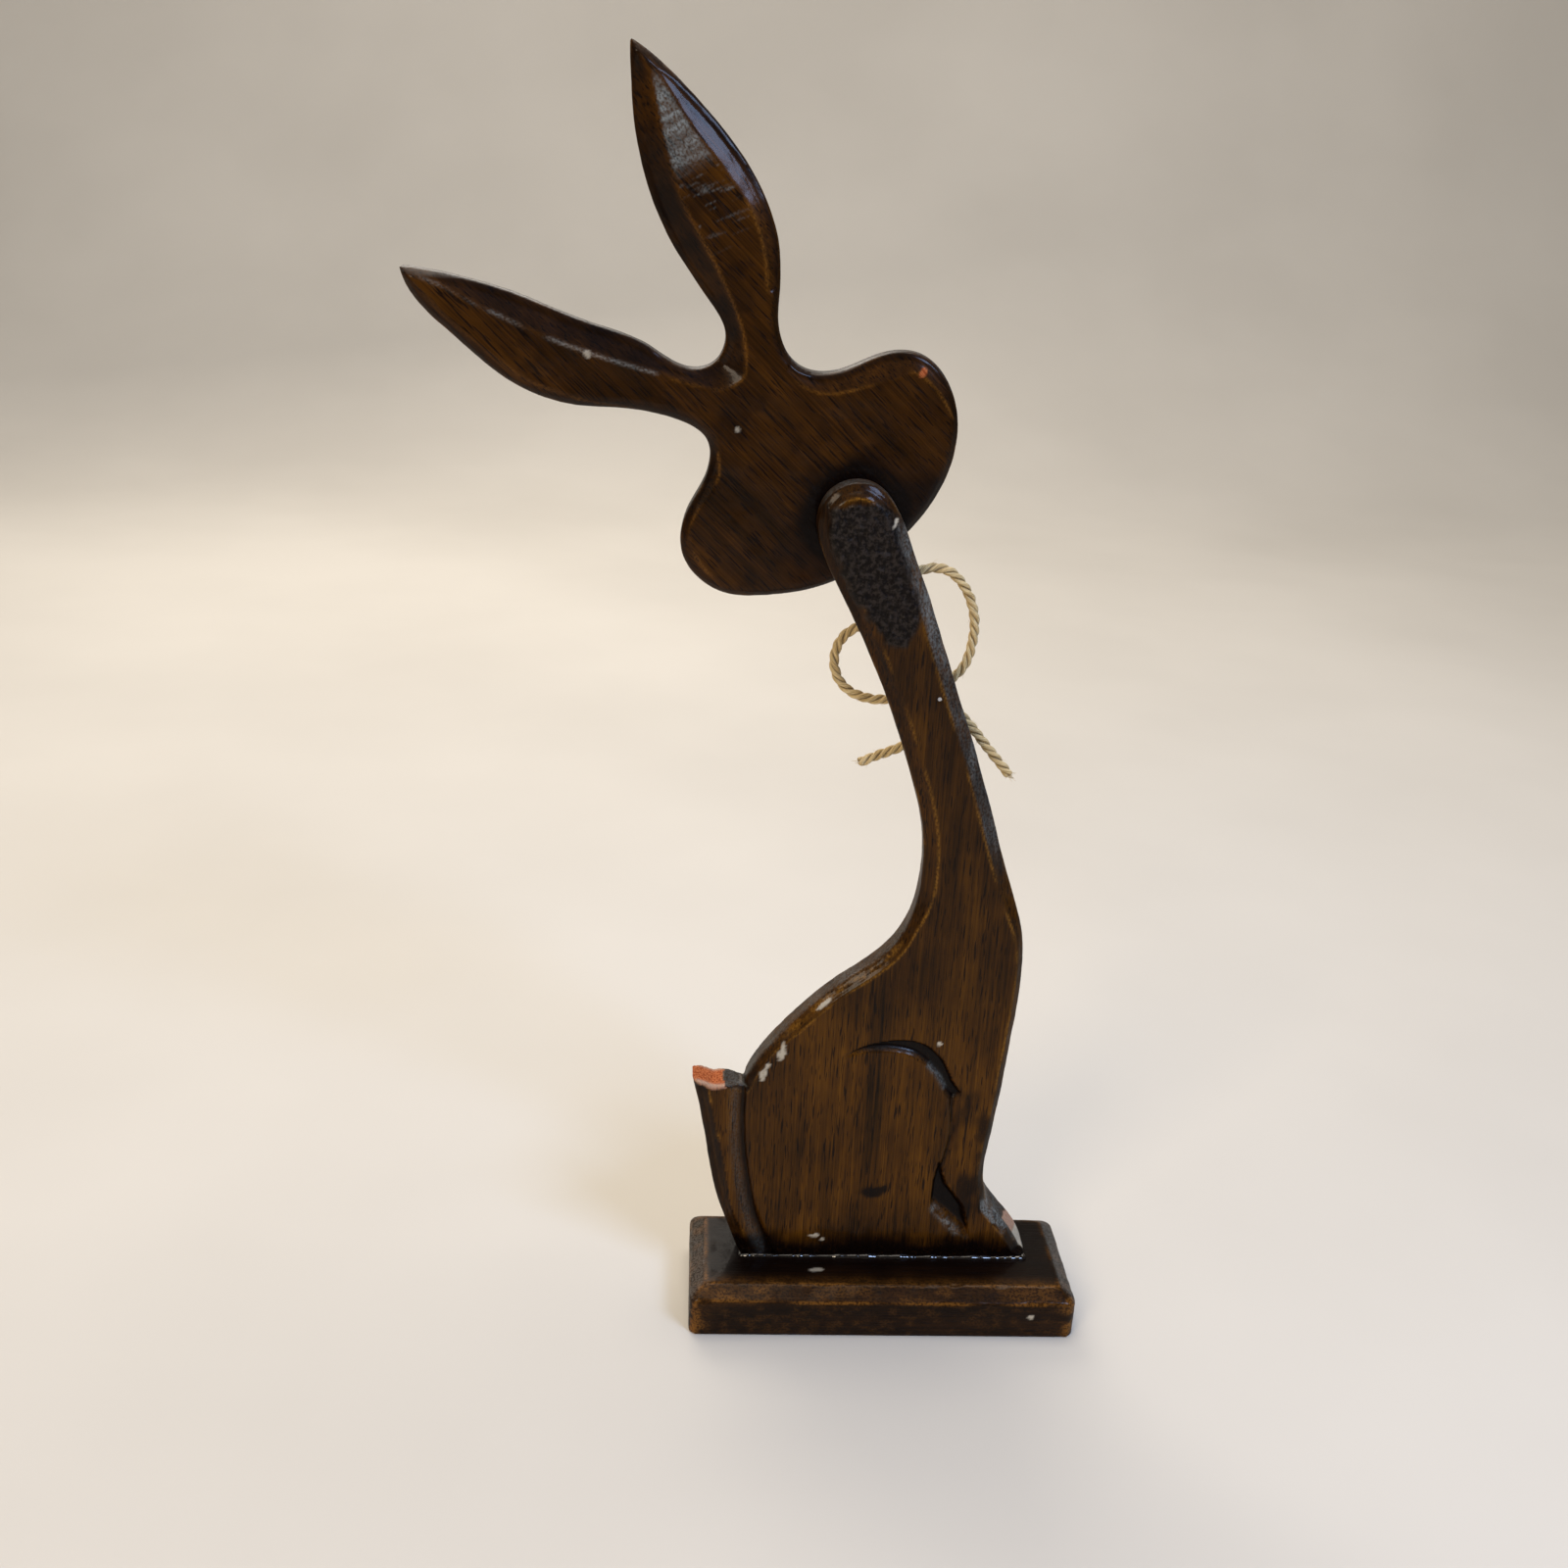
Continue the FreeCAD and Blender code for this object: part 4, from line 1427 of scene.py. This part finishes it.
        # painted grey sheen of the light from above on the upward walls, with some settled dirt
        dust_and_painted_light = ground.dust_and_painted_light_share(0.3, 0.15, 93) * (rise > 6) * (1 - bare)
        skin.mark({
            Mark.WORN: self.worn(ground) * (1 - tar) * (1 - 0.7 * foot),
            Mark.DARK_STAIN_AND_SHADE: np.maximum(darker_stain_and_shade, stained_break) * (1 - bare),
            Mark.RAW: np.maximum(bare, 0.8 * toe * toe_bare),
            Mark.CHIP: np.maximum.reduce(
                [0.55 * rim, flaked * (ground.y > 0), toe * np.where(toe_bare, 0.45, 1.0)]
            ),
            Mark.TAR: tar,
            Mark.SHEEN_AND_SCRATCHES: np.maximum(self.painted_sheen(ground), dust_and_painted_light),
        })

    def worn(self, ground: Ground) -> Array:
        """Where the stain is rubbed to gold: the bevels' two edges and the tail's ridge, and on the back's
        slope rubbed gold with painted glints.
        """
        p, x, rise, edge = ground.points, ground.x, ground.rise, ground.edge
        inner = bell(edge - 2.4 - self.wider(ground.spots), 0.38) * ground.face
        inner *= patchy(p, (6.0, 6.0, 13.0), 51, -0.5, 0.5) * (0.35 + 0.65 * ease(rise, 60, 130))
        outer = bell(edge, 0.45) * ground.corner * patchy(p, 7.0, 53, -0.1, 0.8)
        from_ridge, _ = reach(ground.spots, smooth_line(self.tail_ridge))
        tail = bell(from_ridge, 0.5) * patchy(p, (3.0, 3.0, 8.0), 57, 0.0, 0.7) * (x > 40)
        # the back's slope bevel: rubbed gold with painted glints
        slope = bell(edge - 1.4, 0.9) * ease(rise, 84, 90) * (1 - ease(rise, 118, 124)) * (x > 0)
        slope *= patchy(p, 1.6, 59, -0.5, 0.5)
        return np.maximum.reduce([inner, 0.6 * outer, 0.8 * tail, 0.75 * slope])

    def darker_stain_and_shade(self, ground: Ground) -> Array:
        """Where the board is darker: the leg, with painted shadow, a knot, two blots, streaks, bevels, walls,
        tail and neck.
        """
        p, x, rise, edge = ground.points, ground.x, ground.rise, ground.edge
        # mottled darker stain with painted shadow beside the leg line
        leg = patchy(p, (4.5, 5.0, 8.0), 63, -0.5, 0.6) * (1 - ease(x, -24, -18)) * (1 - ease(rise, 60, 78))
        from_knot = np.hypot((x - 3.4) / 5.6, (rise - 27.2 + 0.12 * (x - 3.4)) / 2.6)
        from_knot += 0.35 * lumps(p, 2.0, 65)
        knot = (1 - ease(from_knot, 0.5, 1.25)) * (0.55 + 0.45 * (from_knot < 0.75))
        high_blot = bell(x + 1.5, 2.2) * bell(rise - 215.0, 4.0)
        low_blot = bell(x - 6.0, 9.0) * bell(rise - 138.0, 5.0) * patchy(p, 6.0, 67, 0.0, 0.8)
        streaks = patchy(p, (3.0, 5.0, 30.0), 69, 0.35, 1.0)
        wider = self.wider(ground.spots)
        bevel = 1 - ease(edge, 1.8 + wider, 2.6 + wider)
        bevel *= 0.4 + 0.6 * patchy(p, (8.0, 8.0, 20.0), 71, -0.4, 0.6)
        _, tail_side = reach(ground.spots, smooth_line(self.tail_ridge))
        neck = ease(rise, 72, 105) * (0.7 + 0.3 * patchy(p, (6.0, 6.0, 20.0), 75, -0.6, 0.6))
        return np.maximum.reduce([
            0.85 * leg,
            0.95 * knot,
            0.8 * high_blot + 0.48 * low_blot,
            0.28 * streaks,
            0.7 * bevel,
            0.4 * ground.wall,
            0.75 * (x > 46) * (tail_side > 0),
            0.46 * neck,
        ])

    def toe(self, ground: Ground) -> Array:
        """The chipped strip along the far top edge of the paw."""
        along = ease(ground.rise, -0.5, 2.0) * (1 - ease(ground.rise, 13.0, 15.5)) * (ground.x < -40)
        across = ease(-ground.y, -0.6, 0.4) * (1 - ease(-ground.y, 6.6, 7.4))
        ragged = 0.25 * lumps(ground.points, 1.6, 87)
        return ease(along * across * (ground.edge < 3.5) + ragged, 0.35, 0.6)

    def painted_sheen(self, ground: Ground) -> Array:
        """Where a blue-grey sheen of reflected light is painted: the paw's and the neck's bevels, the pocket,
        the gouge and the tail's facet.
        """
        p, x, y, rise, edge = ground.points, ground.x, ground.y, ground.rise, ground.edge
        broken = patchy(p, 1.8, 91, -0.9, 0.2)
        paw = (1 - ease(edge, 1.9, 2.5)) * ease(rise, 9, 13) * (1 - ease(rise, 22, 25))
        paw *= (x < -28) & (y > 0)
        lip, _ = reach(ground.spots, smooth_line(self.lip_shine))
        gouge, _ = reach(ground.spots, smooth_line(self.gouge_shine))
        centre = np.interp(rise, (150, 163, 185, 203, 222, 238, 264), (-10, -12, -7, 0, 8, 14, 24))
        neck = (1 - ease(edge, 3.4, 4.4)) * ease(rise, 140, 165) * (1 - ease(rise, 252, 262))
        neck *= (x < centre) & (y > -1.0)
        neck *= 0.28 + 0.42 * patchy(p, (2.0, 2.0, 16.0), 89, -0.5, 0.6)
        neck *= 0.6 + 0.4 * ease(rise, 215, 235)
        tail, side = reach(ground.spots, smooth_line(self.tail_line))
        facet = bell(tail - 3.2, 1.6) * ((side > 0) & (x > 40) & (y > 0)) * (1 - ease(edge, 40, 50))
        return np.maximum.reduce(
            [0.75 * paw * broken, 0.75 * bell(lip, 1.1) * broken, 0.6 * bell(gouge, 0.7), neck, 0.13 * facet]
        )


@dataclass
class HeadBoard:
    """The board with the cheeks and the two faceted ears, tipped over on its peg."""

    voxel: float = 0.56
    face_depth: float = 1.6
    eye: Point = (17.0, 20.0)  # one eye's middle; the other is its mirror
    eye_radius: float = 2.85
    cut_width: float = 0.62
    nose: Route = ((-5.0, 6.0), (5.0, 6.0), (0.0, 0.5))
    mouth: Route = ((-8.0, -6.5), (-4.0, -7.6), (0.0, -3.6), (4.0, -7.6), (8.0, -6.5))
    deepest: float = 3.2  # the most that any facet takes from a face
    ears_from: float = 50.0  # above this the facets are as deep in front as behind
    facets: tuple[Facet, ...] = (
        Facet(((-43.5, 141.0), (-38.5, 130.0), (-34.0, 116.5), (-27.0, 98.3), (-20.0, 84.0), (-12.8, 71.0),
               (-7.2, 60.6), (-3.0, 54.6), (2.0, 52.2), (6.5, 53.0), (12.6, 60.0), (16.5, 67.8), (20.6, 79.0),
               (23.2, 88.0), (26.6, 99.0), (33.0, 111.6), (42.0, 125.5), (46.2, 134.6)), 1, 0.46),
        Facet(((46.4, 133.6), (44.2, 121.9), (42.4, 113.0), (41.2, 105.0), (40.6, 98.0), (39.3, 89.6),
               (37.8, 82.0), (33.0, 72.6), (26.0, 64.0)), 1, 0.5),
        Facet(((-43.0, 136.0), (-43.5, 120.0), (-41.8, 105.0), (-40.0, 95.0), (-38.0, 90.0), (-33.0, 80.0),
               (-25.0, 69.0)), -1, 0.4),
        Facet(((14.0, 45.0), (16.0, 36.0), (20.6, 30.0), (30.6, 24.0), (36.0, 20.8), (41.0, 18.5),
               (42.0, 14.0), (42.0, 8.0), (40.0, 0.0)), 1, 0.32),
        Facet(((-38.0, 2.0), (-42.6, 11.0), (-43.0, 22.0), (-40.0, 30.0), (-34.5, 33.6), (-25.0, 35.4),
               (-20.0, 37.5), (-16.0, 42.0)), 1, 0.4, 8.0),
    )
    finish: StainedWood = StainedWood(
        "walnut_stained_hardwood_head",
        deep="#150a01",
        middle="#2f1903",
        light="#4a2b05",
        gold="#8a5a1e",
        turn=HEAD_TILT,
        shift=(0.0242, -0.008, 0.2741),
    )

    def closed_cuts(self, points: Array) -> Array:
        """Lifts the floors of the face's thin cuts back to the front, to be carved again later.

        Args:
            points: the CAD copy's points.

        Returns:
            The same points, moved.
        """
        floor = np.abs(points[:, 1] - HEAD_LOW[1] - self.face_depth) < 0.002
        points[floor, 1] = HEAD_LOW[1]
        return points

    def drawn(self, spots: Array) -> Array:
        """The depth of the cuts that draw the face: two ringed eyes, a nose and a mouth."""
        u, v = spots.T
        from_ring = np.hypot(np.abs(u) - self.eye[0], v - self.eye[1]) - self.eye_radius
        from_mouth, _ = reach(spots, np.array(self.mouth, float))
        outline = np.array([*self.nose, self.nose[0]], float)
        from_nose, _ = reach(spots, outline)
        nose = within(spots, outline) * ease(from_nose, -0.3, 0.8)
        cuts = [bell(from_ring, self.cut_width), bell(from_mouth, self.cut_width), nose]
        return self.face_depth * np.maximum.reduce(cuts)

    def upright(self, points: Array) -> Array:
        """Points turned back about the peg, as (across from behind, up the ears)."""
        c, s = math.cos(math.radians(HEAD_TILT)), math.sin(math.radians(HEAD_TILT))
        x, z = points[:, 0] - PEG[0], points[:, 2] - PEG[2]
        return np.stack([z * s - x * c, x * s + z * c], 1)

    def build(self) -> bpy.types.Object:
        """Carves and marks the board.

        Returns:
            The finished piece.
        """
        skin = Skin("head_board", "head_carving", self.voxel, self.closed_cuts)
        skin.relax(2)
        spots = self.upright(skin.points)
        edge = skin.rim_reach()
        middle, half = (HEAD_LOW[1] + HEAD_HIGH[1]) / 2, (HEAD_HIGH[1] - HEAD_LOW[1]) / 2
        cut = np.maximum.reduce([facet.drop(spots) for facet in self.facets])
        cheek_front = (spots[:, 1] < self.ears_from) & (skin.points[:, 1] < middle)
        cut *= np.where(cheek_front, 0.5, 1.0)
        chamfer = np.clip(EDGE_CHAMFER - edge, 0, EDGE_CHAMFER)
        thinned(skin, np.clip(cut - chamfer, 0, self.deepest), middle, half)
        skin.relax(1, 0.3)
        ground = skin.ground(edge)
        p = ground.points
        waves = 0.12 * lumps(p, (10.0, 9.0, 10.0), 121) + 0.06 * lumps(p, 4.5, 122)
        waves += bell(edge - 1.1, 1.2) * (0.20 * lumps(p, 7.0, 123) + 0.08 * lumps(p, 2.6, 124))
        off_peg = ease(np.hypot(*spots.T), 14.0, 22.0)
        still = np.where(ground.y > middle, off_peg, 1.0)
        skin.points += (still * waves)[:, None] * ground.normals
        drawn = self.drawn(spots) * (skin.points[:, 1] < middle)
        skin.points[:, 1] += drawn
        self.mark(skin, replace(ground, points=skin.points), spots, drawn)
        return skin.finished(self.finish.make(), "head", "head_board")

    def mark(self, skin: Skin, ground: Ground, spots: Array, drawn: Array) -> None:
        """Writes where the finish is worn, darker (stain, and painted shade on the steep facet), bare at a
        corner, chipped, scratched, and painted with sheen and highlights.

        Args:
            skin: the carved board.
            ground: its points and their directions.
            spots: its points turned upright.
            drawn: how deep the face's cuts lie.
        """
        p, facing = ground.points, ground.normals[:, 1]
        u, v = spots.T
        corner = np.hypot((u - 43.0) / 1.5, (v - 16.5) / 1.1) + 0.4 * lumps(p, 1.5, 181)
        ear_dot = 1 - ease(np.hypot(u + 22.5, v - 88.0) + 0.3 * lumps(p, 1.5, 183), 0.8, 1.3)
        brow_dot = 1 - ease(np.hypot(u + 7.0, v - 43.0) + 0.4 * lumps(p, 1.2, 185), 0.5, 1.1)
        skin.mark({
            Mark.WORN: self.worn(ground, spots),
            Mark.DARK_STAIN_AND_SHADE: self.darker_stain_and_shade(ground, spots, drawn),
            Mark.RAW: (1 - ease(corner, 0.7, 1.1)) * (facing > 0.1),
            Mark.CHIP: 0.6 * np.maximum(ear_dot, brow_dot) * (facing > 0.2),
            Mark.SHEEN_AND_SCRATCHES: self.scratch_and_sheen_marks(ground, spots),
        })

    def worn(self, ground: Ground, spots: Array) -> Array:
        """Where the stain is rubbed to gold: the facets' ridges and the walls' outer edge."""
        p = ground.points
        ridges = np.zeros(len(p))
        for turn, facet in enumerate(self.facets):
            gap, _ = reach(spots, smooth_line(facet.ridge))
            ridges = np.maximum(ridges, bell(gap, 0.42) * patchy(p, 7.0, 151 + 2 * turn, -0.6, 0.5))
        ridges *= ground.face * (1 - 0.7 * ease(spots[:, 1], 84, 104))
        rim = bell(ground.edge, 0.5) * ground.corner * patchy(p, 7.0, 171, 0.0, 0.8)
        return np.maximum(0.42 * ridges, 0.35 * rim)

    def darker_stain_and_shade(self, ground: Ground, spots: Array, drawn: Array) -> Array:
        """Where the board is darker: round the peg, along the neck, painted shade on the steep facet, edges
        and face.
        """
        p, face = ground.points, ground.face
        u, v = spots.T
        back = ground.normals[:, 1] > 0.2
        from_peg = np.hypot(u, v)
        from_neck = np.abs(u * 0.68 + v * 0.73)
        # painted shade on the left ear's steep facet, which faces away from the light
        steep = ease(self.facets[0].drop(spots), 0.1, 0.8) * face * (v > self.ears_from)
        return np.maximum.reduce([
            (1 - ease(from_peg + 2.6 * lumps(p, 5.0, 175), 15.0, 22.0)) * back,
            0.8 * (1 - ease(from_neck, 8.0, 16.0)) * (v < 0) * back,
            0.8 * steep * (0.6 + 0.4 * patchy(p, 9.0, 177, -0.5, 0.5)),
            0.6 * bell(ground.edge - 1.0, 1.0) * face,
            0.4 * patchy(p, 9.0, 179, 0.3, 1.0),
            0.9 * ease(drawn, 0.3, 1.0),
            0.3 * ground.wall,
        ])

    def planed(self, spots: Array) -> Array:
        """The right ear's middle plane, between its two ridges, from 0 to 1."""
        left, left_side = reach(spots, smooth_line(self.facets[0].ridge))
        right, right_side = reach(spots, smooth_line(self.facets[1].ridge))
        return ease(-left_side * left, 0.2, 0.9) * ease(-right_side * right, 0.2, 0.9) * (spots[:, 0] > 0)

    def scratch_and_sheen_marks(self, ground: Ground, spots: Array) -> Array:
        """Where the lacquer is grey: painted sheen with scratches hatched across the right ear, a painted
        highlight along one ridge, and grey dirt with painted sheen on top.
        """
        u, v = spots.T
        across = np.stack([0.92 * u - 0.38 * v, 0.38 * u + 0.92 * v, 0 * u], 1)
        planed = self.planed(spots)
        # painted silver sheen of reflected light, with real hatched scratches, on the right ear's middle
        # plane
        hatch = planed * ease(v - 0.35 * (38 - u), 98, 107) * (1 - ease(v, 122, 128))
        hatch *= 0.45 + 0.55 * patchy(across, (5.0, 0.9, 1.0), 187, -0.3, 0.7)
        scratch = planed * bell(v - 93.0, 10.0) * patchy(across, (7.0, 0.7, 1.0), 191, 0.45, 1.0)
        from_ridge, _ = reach(spots, smooth_line(self.facets[0].ridge))
        # painted highlight along the left ear's ridge
        ridge = bell(from_ridge, 0.42) * patchy(ground.points, 9.0, 189, -0.7, 0.3) * (v > 66) * (u < 0)
        scratches_and_sheen = np.maximum.reduce([hatch, 0.4 * scratch, 0.6 * ridge]) * (ground.normals[:, 1] > 0.2)
        return np.maximum(scratches_and_sheen, ground.dust_and_painted_light_share(0.34, 0.2, 193))


@dataclass
class PlinthBlock:
    """The chamfered block, rubbed along its edges, with lacquer run along the body's foot."""

    voxel: float = 0.62
    band: float = 13.5
    chamfer_run: float = 5.4
    finish: StainedWood = StainedWood(
        "dark_stained_hardwood_plinth",
        deep="#080402",
        middle="#140a04",
        light="#291708",
        gold="#8a5a22",
        coat=0.14,
        grain_axis=0,
    )
    bead_finish: PlainFinish = PlainFinish(
        "run_gloss_lacquer", "#140b07", "#070403", (1.2, 1.2, 1.2), 0.12, coat=1.0
    )
    foot: tuple[float, float] = (-50.6, 48.4)  # where the body's foot starts and ends, across
    bead_around: int = 10
    bead_step: float = 0.4

    def build(self) -> list[bpy.types.Object]:
        """Rounds and marks the block, and lays the bead of lacquer.

        Returns:
            The pieces.
        """
        skin = Skin("plinth", "plinth_block", self.voxel)
        skin.relax(3)
        half_long, half_deep, _ = np.array(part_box("plinth")[1]) / MM
        x, y, z = skin.points.T
        inset = np.minimum(half_long - np.abs(x), half_deep - np.abs(y))
        from_corner = np.hypot(half_long - np.abs(x), half_deep - np.abs(y))
        low_edge = bell(z - self.band, 0.5) * bell(inset, 0.8)
        top_edge = bell(z - PLINTH_TOP, 0.6) * bell(inset - self.chamfer_run, 0.8)
        ground = skin.ground(inset)
        waves = 0.14 * lumps(ground.points, (16.0, 9.0, 6.0), 221) + 0.08 * lumps(ground.points, 4.0, 222)
        dents = 0.35 * (low_edge + top_edge) * patchy(ground.points, (5.0, 4.0, 4.0), 223, 0.1, 0.9)
        skin.points += (waves * ease(z, 0.3, 1.5) - dents)[:, None] * ground.normals
        skin.points[:, 2] = np.maximum(skin.points[:, 2], 0.0)
        self.mark(skin, replace(ground, points=skin.points), from_corner, low_edge, top_edge)
        block = skin.finished(self.finish.make(), "stand", "plinth")
        return [block, self.bead()]

    def mark(self, skin: Skin, ground: Ground, from_corner: Array, low_edge: Array, top_edge: Array) -> None:
        """Writes where the block is rubbed, dark round the foot, chipped and greyer on its end chamfers.

        Args:
            skin: the rounded block.
            ground: its points, and how far each is from the block's outline.
            from_corner: how far each is from the nearest upright corner.
            low_edge: the share of the edge where the band meets the chamfer.
            top_edge: the share of the edge where the chamfer meets the top.
        """
        p = ground.points
        x, y, z = p.T
        slope = (z > self.band) & (ground.edge < self.chamfer_run + 0.4)
        rubbed = slope * (0.3 + 0.7 * patchy(p, (7.0, 4.0, 2.6), 225, -0.3, 0.8))
        rubbed *= (0.45 + 0.55 * ease(x, 15.0, 58.0)) * np.where(y > 0, 0.55, 0.35)
        band = (0.02 + 0.11 * patchy(p, (3.0, 3.0, 1.6), 233, -0.3, 1.0)) * (z < self.band)
        # darker round the board's foot
        off_foot = np.maximum(np.abs(x + 1.2) - 51.0, np.abs(y + 2.0) - 5.8)
        foot = 1 - ease(off_foot + 3.0 * lumps(p, 7.0, 235), 3.0, 14.0)
        foot *= z > PLINTH_TOP - 1.0
        dull = 0.34 * (z > PLINTH_TOP - 0.6) * ease(off_foot, 8.0, 18.0)
        worn = np.maximum.reduce([
            rubbed,
            0.72 * low_edge * patchy(p, (12.0, 6.0, 6.0), 227, -0.6, 0.5),
            0.63 * top_edge * patchy(p, (12.0, 6.0, 6.0), 229, -0.6, 0.5),
            0.8 * bell(from_corner, 5.0) * patchy(p, 4.0, 231, -0.2, 0.8),
            band,
            dull * (0.5 + 0.5 * patchy(p, 3.0, 243, -0.5, 0.5)),
        ])
        flake = 1 - ease(np.hypot((x - 22.5) / 2.4, (y - 11.0) / 0.9) + 0.5 * lumps(p, 1.5, 237), 0.7, 1.1)
        nick = 1 - ease(np.hypot((x + 50.5) / 1.0, (z - 8.5) / 0.8) + 0.5 * lumps(p, 1.2, 239), 0.6, 1.1)
        skin.mark({
            Mark.WORN: worn * (1 - 0.6 * foot),
            Mark.DARK_STAIN_AND_SHADE: 0.9 * foot,
            Mark.CHIP: np.maximum(0.6 * flake * (z > PLINTH_TOP - 1), nick * (y > 20)),
            # greyer on the block's end chamfers
            Mark.SHEEN_AND_SCRATCHES: 0.35 * ease(np.abs(ground.normals[:, 0]), 0.3, 0.7) * slope,
        })

    def bead(self) -> bpy.types.Object:
        """The lacquer that ran together where the board stands on the block.

        A round profile of uneven radius goes round the board's foot; most of it is inside the
        wood, and what stands out is a small fillet.

        Returns:
            The bead.
        """
        left, right = self.foot
        front, back = float(BODY_LOW[1]), float(BODY_HIGH[1])
        corners = [(left, back), (right, back), (right, front), (left, front), (left, back)]
        runs = []
        for start, end in zip(corners, corners[1:]):
            count = max(6, round(math.dist(start, end) / self.bead_step))
            share = np.linspace(0, 1, count, endpoint=False)[:, None]
            runs.append(np.array(start) + share * (np.array(end) - start))
        flat = np.vstack(runs)
        path = np.column_stack([flat, np.full(len(flat), PLINTH_TOP)])
        tangent = np.roll(path, -1, axis=0) - np.roll(path, 1, axis=0)
        tangent /= np.linalg.norm(tangent, axis=1)[:, None]
        side = np.cross(tangent, (0.0, 0.0, 1.0))
        radius = 1.15 + 0.4 * lumps(path, 3.5, 241) + 0.28 * lumps(path, 1.4, 242)
        around = self.bead_around
        angle = np.linspace(0, 2 * np.pi, around, endpoint=False)[None, :, None]
        ring = np.cos(angle) * side[:, None] + np.sin(angle) * np.array([0.0, 0.0, 1.0])
        points = (path[:, None] + radius[:, None, None] * ring).reshape(-1, 3)
        i, j = np.meshgrid(np.arange(len(path)), np.arange(around), indexing="ij")
        n, m = (i + 1) % len(path), (j + 1) % around
        corners = [i * around + j, i * around + m, n * around + m, n * around + j]
        piece = mesh_piece("foot_lacquer_bead", points, np.stack(corners, -1).reshape(-1, 4))
        piece.data.materials.append(self.bead_finish.make())
        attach(piece, "stand")
        return piece


@dataclass
class Fixings:
    """The tack, the peg and the dowels: the CAD parts themselves, with their own finishes."""

    steel: PlainFinish = PlainFinish(
        "drawn_steel_tack", "#d9dade", "#a9aaae", (0.4, 0.4, 0.4), 0.28, metallic=1.0, relief=0.02
    )
    raw: PlainFinish = PlainFinish("turned_raw_birch", "#caa06a", "#a97c46", (0.4, 0.4, 7.0), 0.7)

    def dress(self) -> None:
        """Puts each finish in its parts' material slots."""
        steel, raw = self.steel.make(), self.raw.make()
        for node, material in (("bow_nail", steel), ("head_peg", raw), ("foot_dowels", raw)):
            part = frame["nodes"][node]
            if not part.material_slots:
                part.data.materials.append(material)
            for slot in part.material_slots:
                slot.material = material


def main() -> None:
    """Builds every piece in order and says what was made."""
    logging.basicConfig(level=logging.INFO, format="%(name)s: %(message)s", stream=sys.stderr)
    studio = Studio()
    studio.camera()
    bow = TwineBow().build()
    log.info("bow: %d pieces", len(bow))
    body = BodyBoard().build()
    log.info("body: %d faces", len(body.data.polygons))
    head = HeadBoard().build()
    log.info("head: %d faces", len(head.data.polygons))
    plinth = PlinthBlock().build()
    log.info("plinth: %d faces", len(plinth[0].data.polygons))
    Fixings().dress()
    studio.floor()
    studio.lights()


if __name__ == "__main__":
    main()
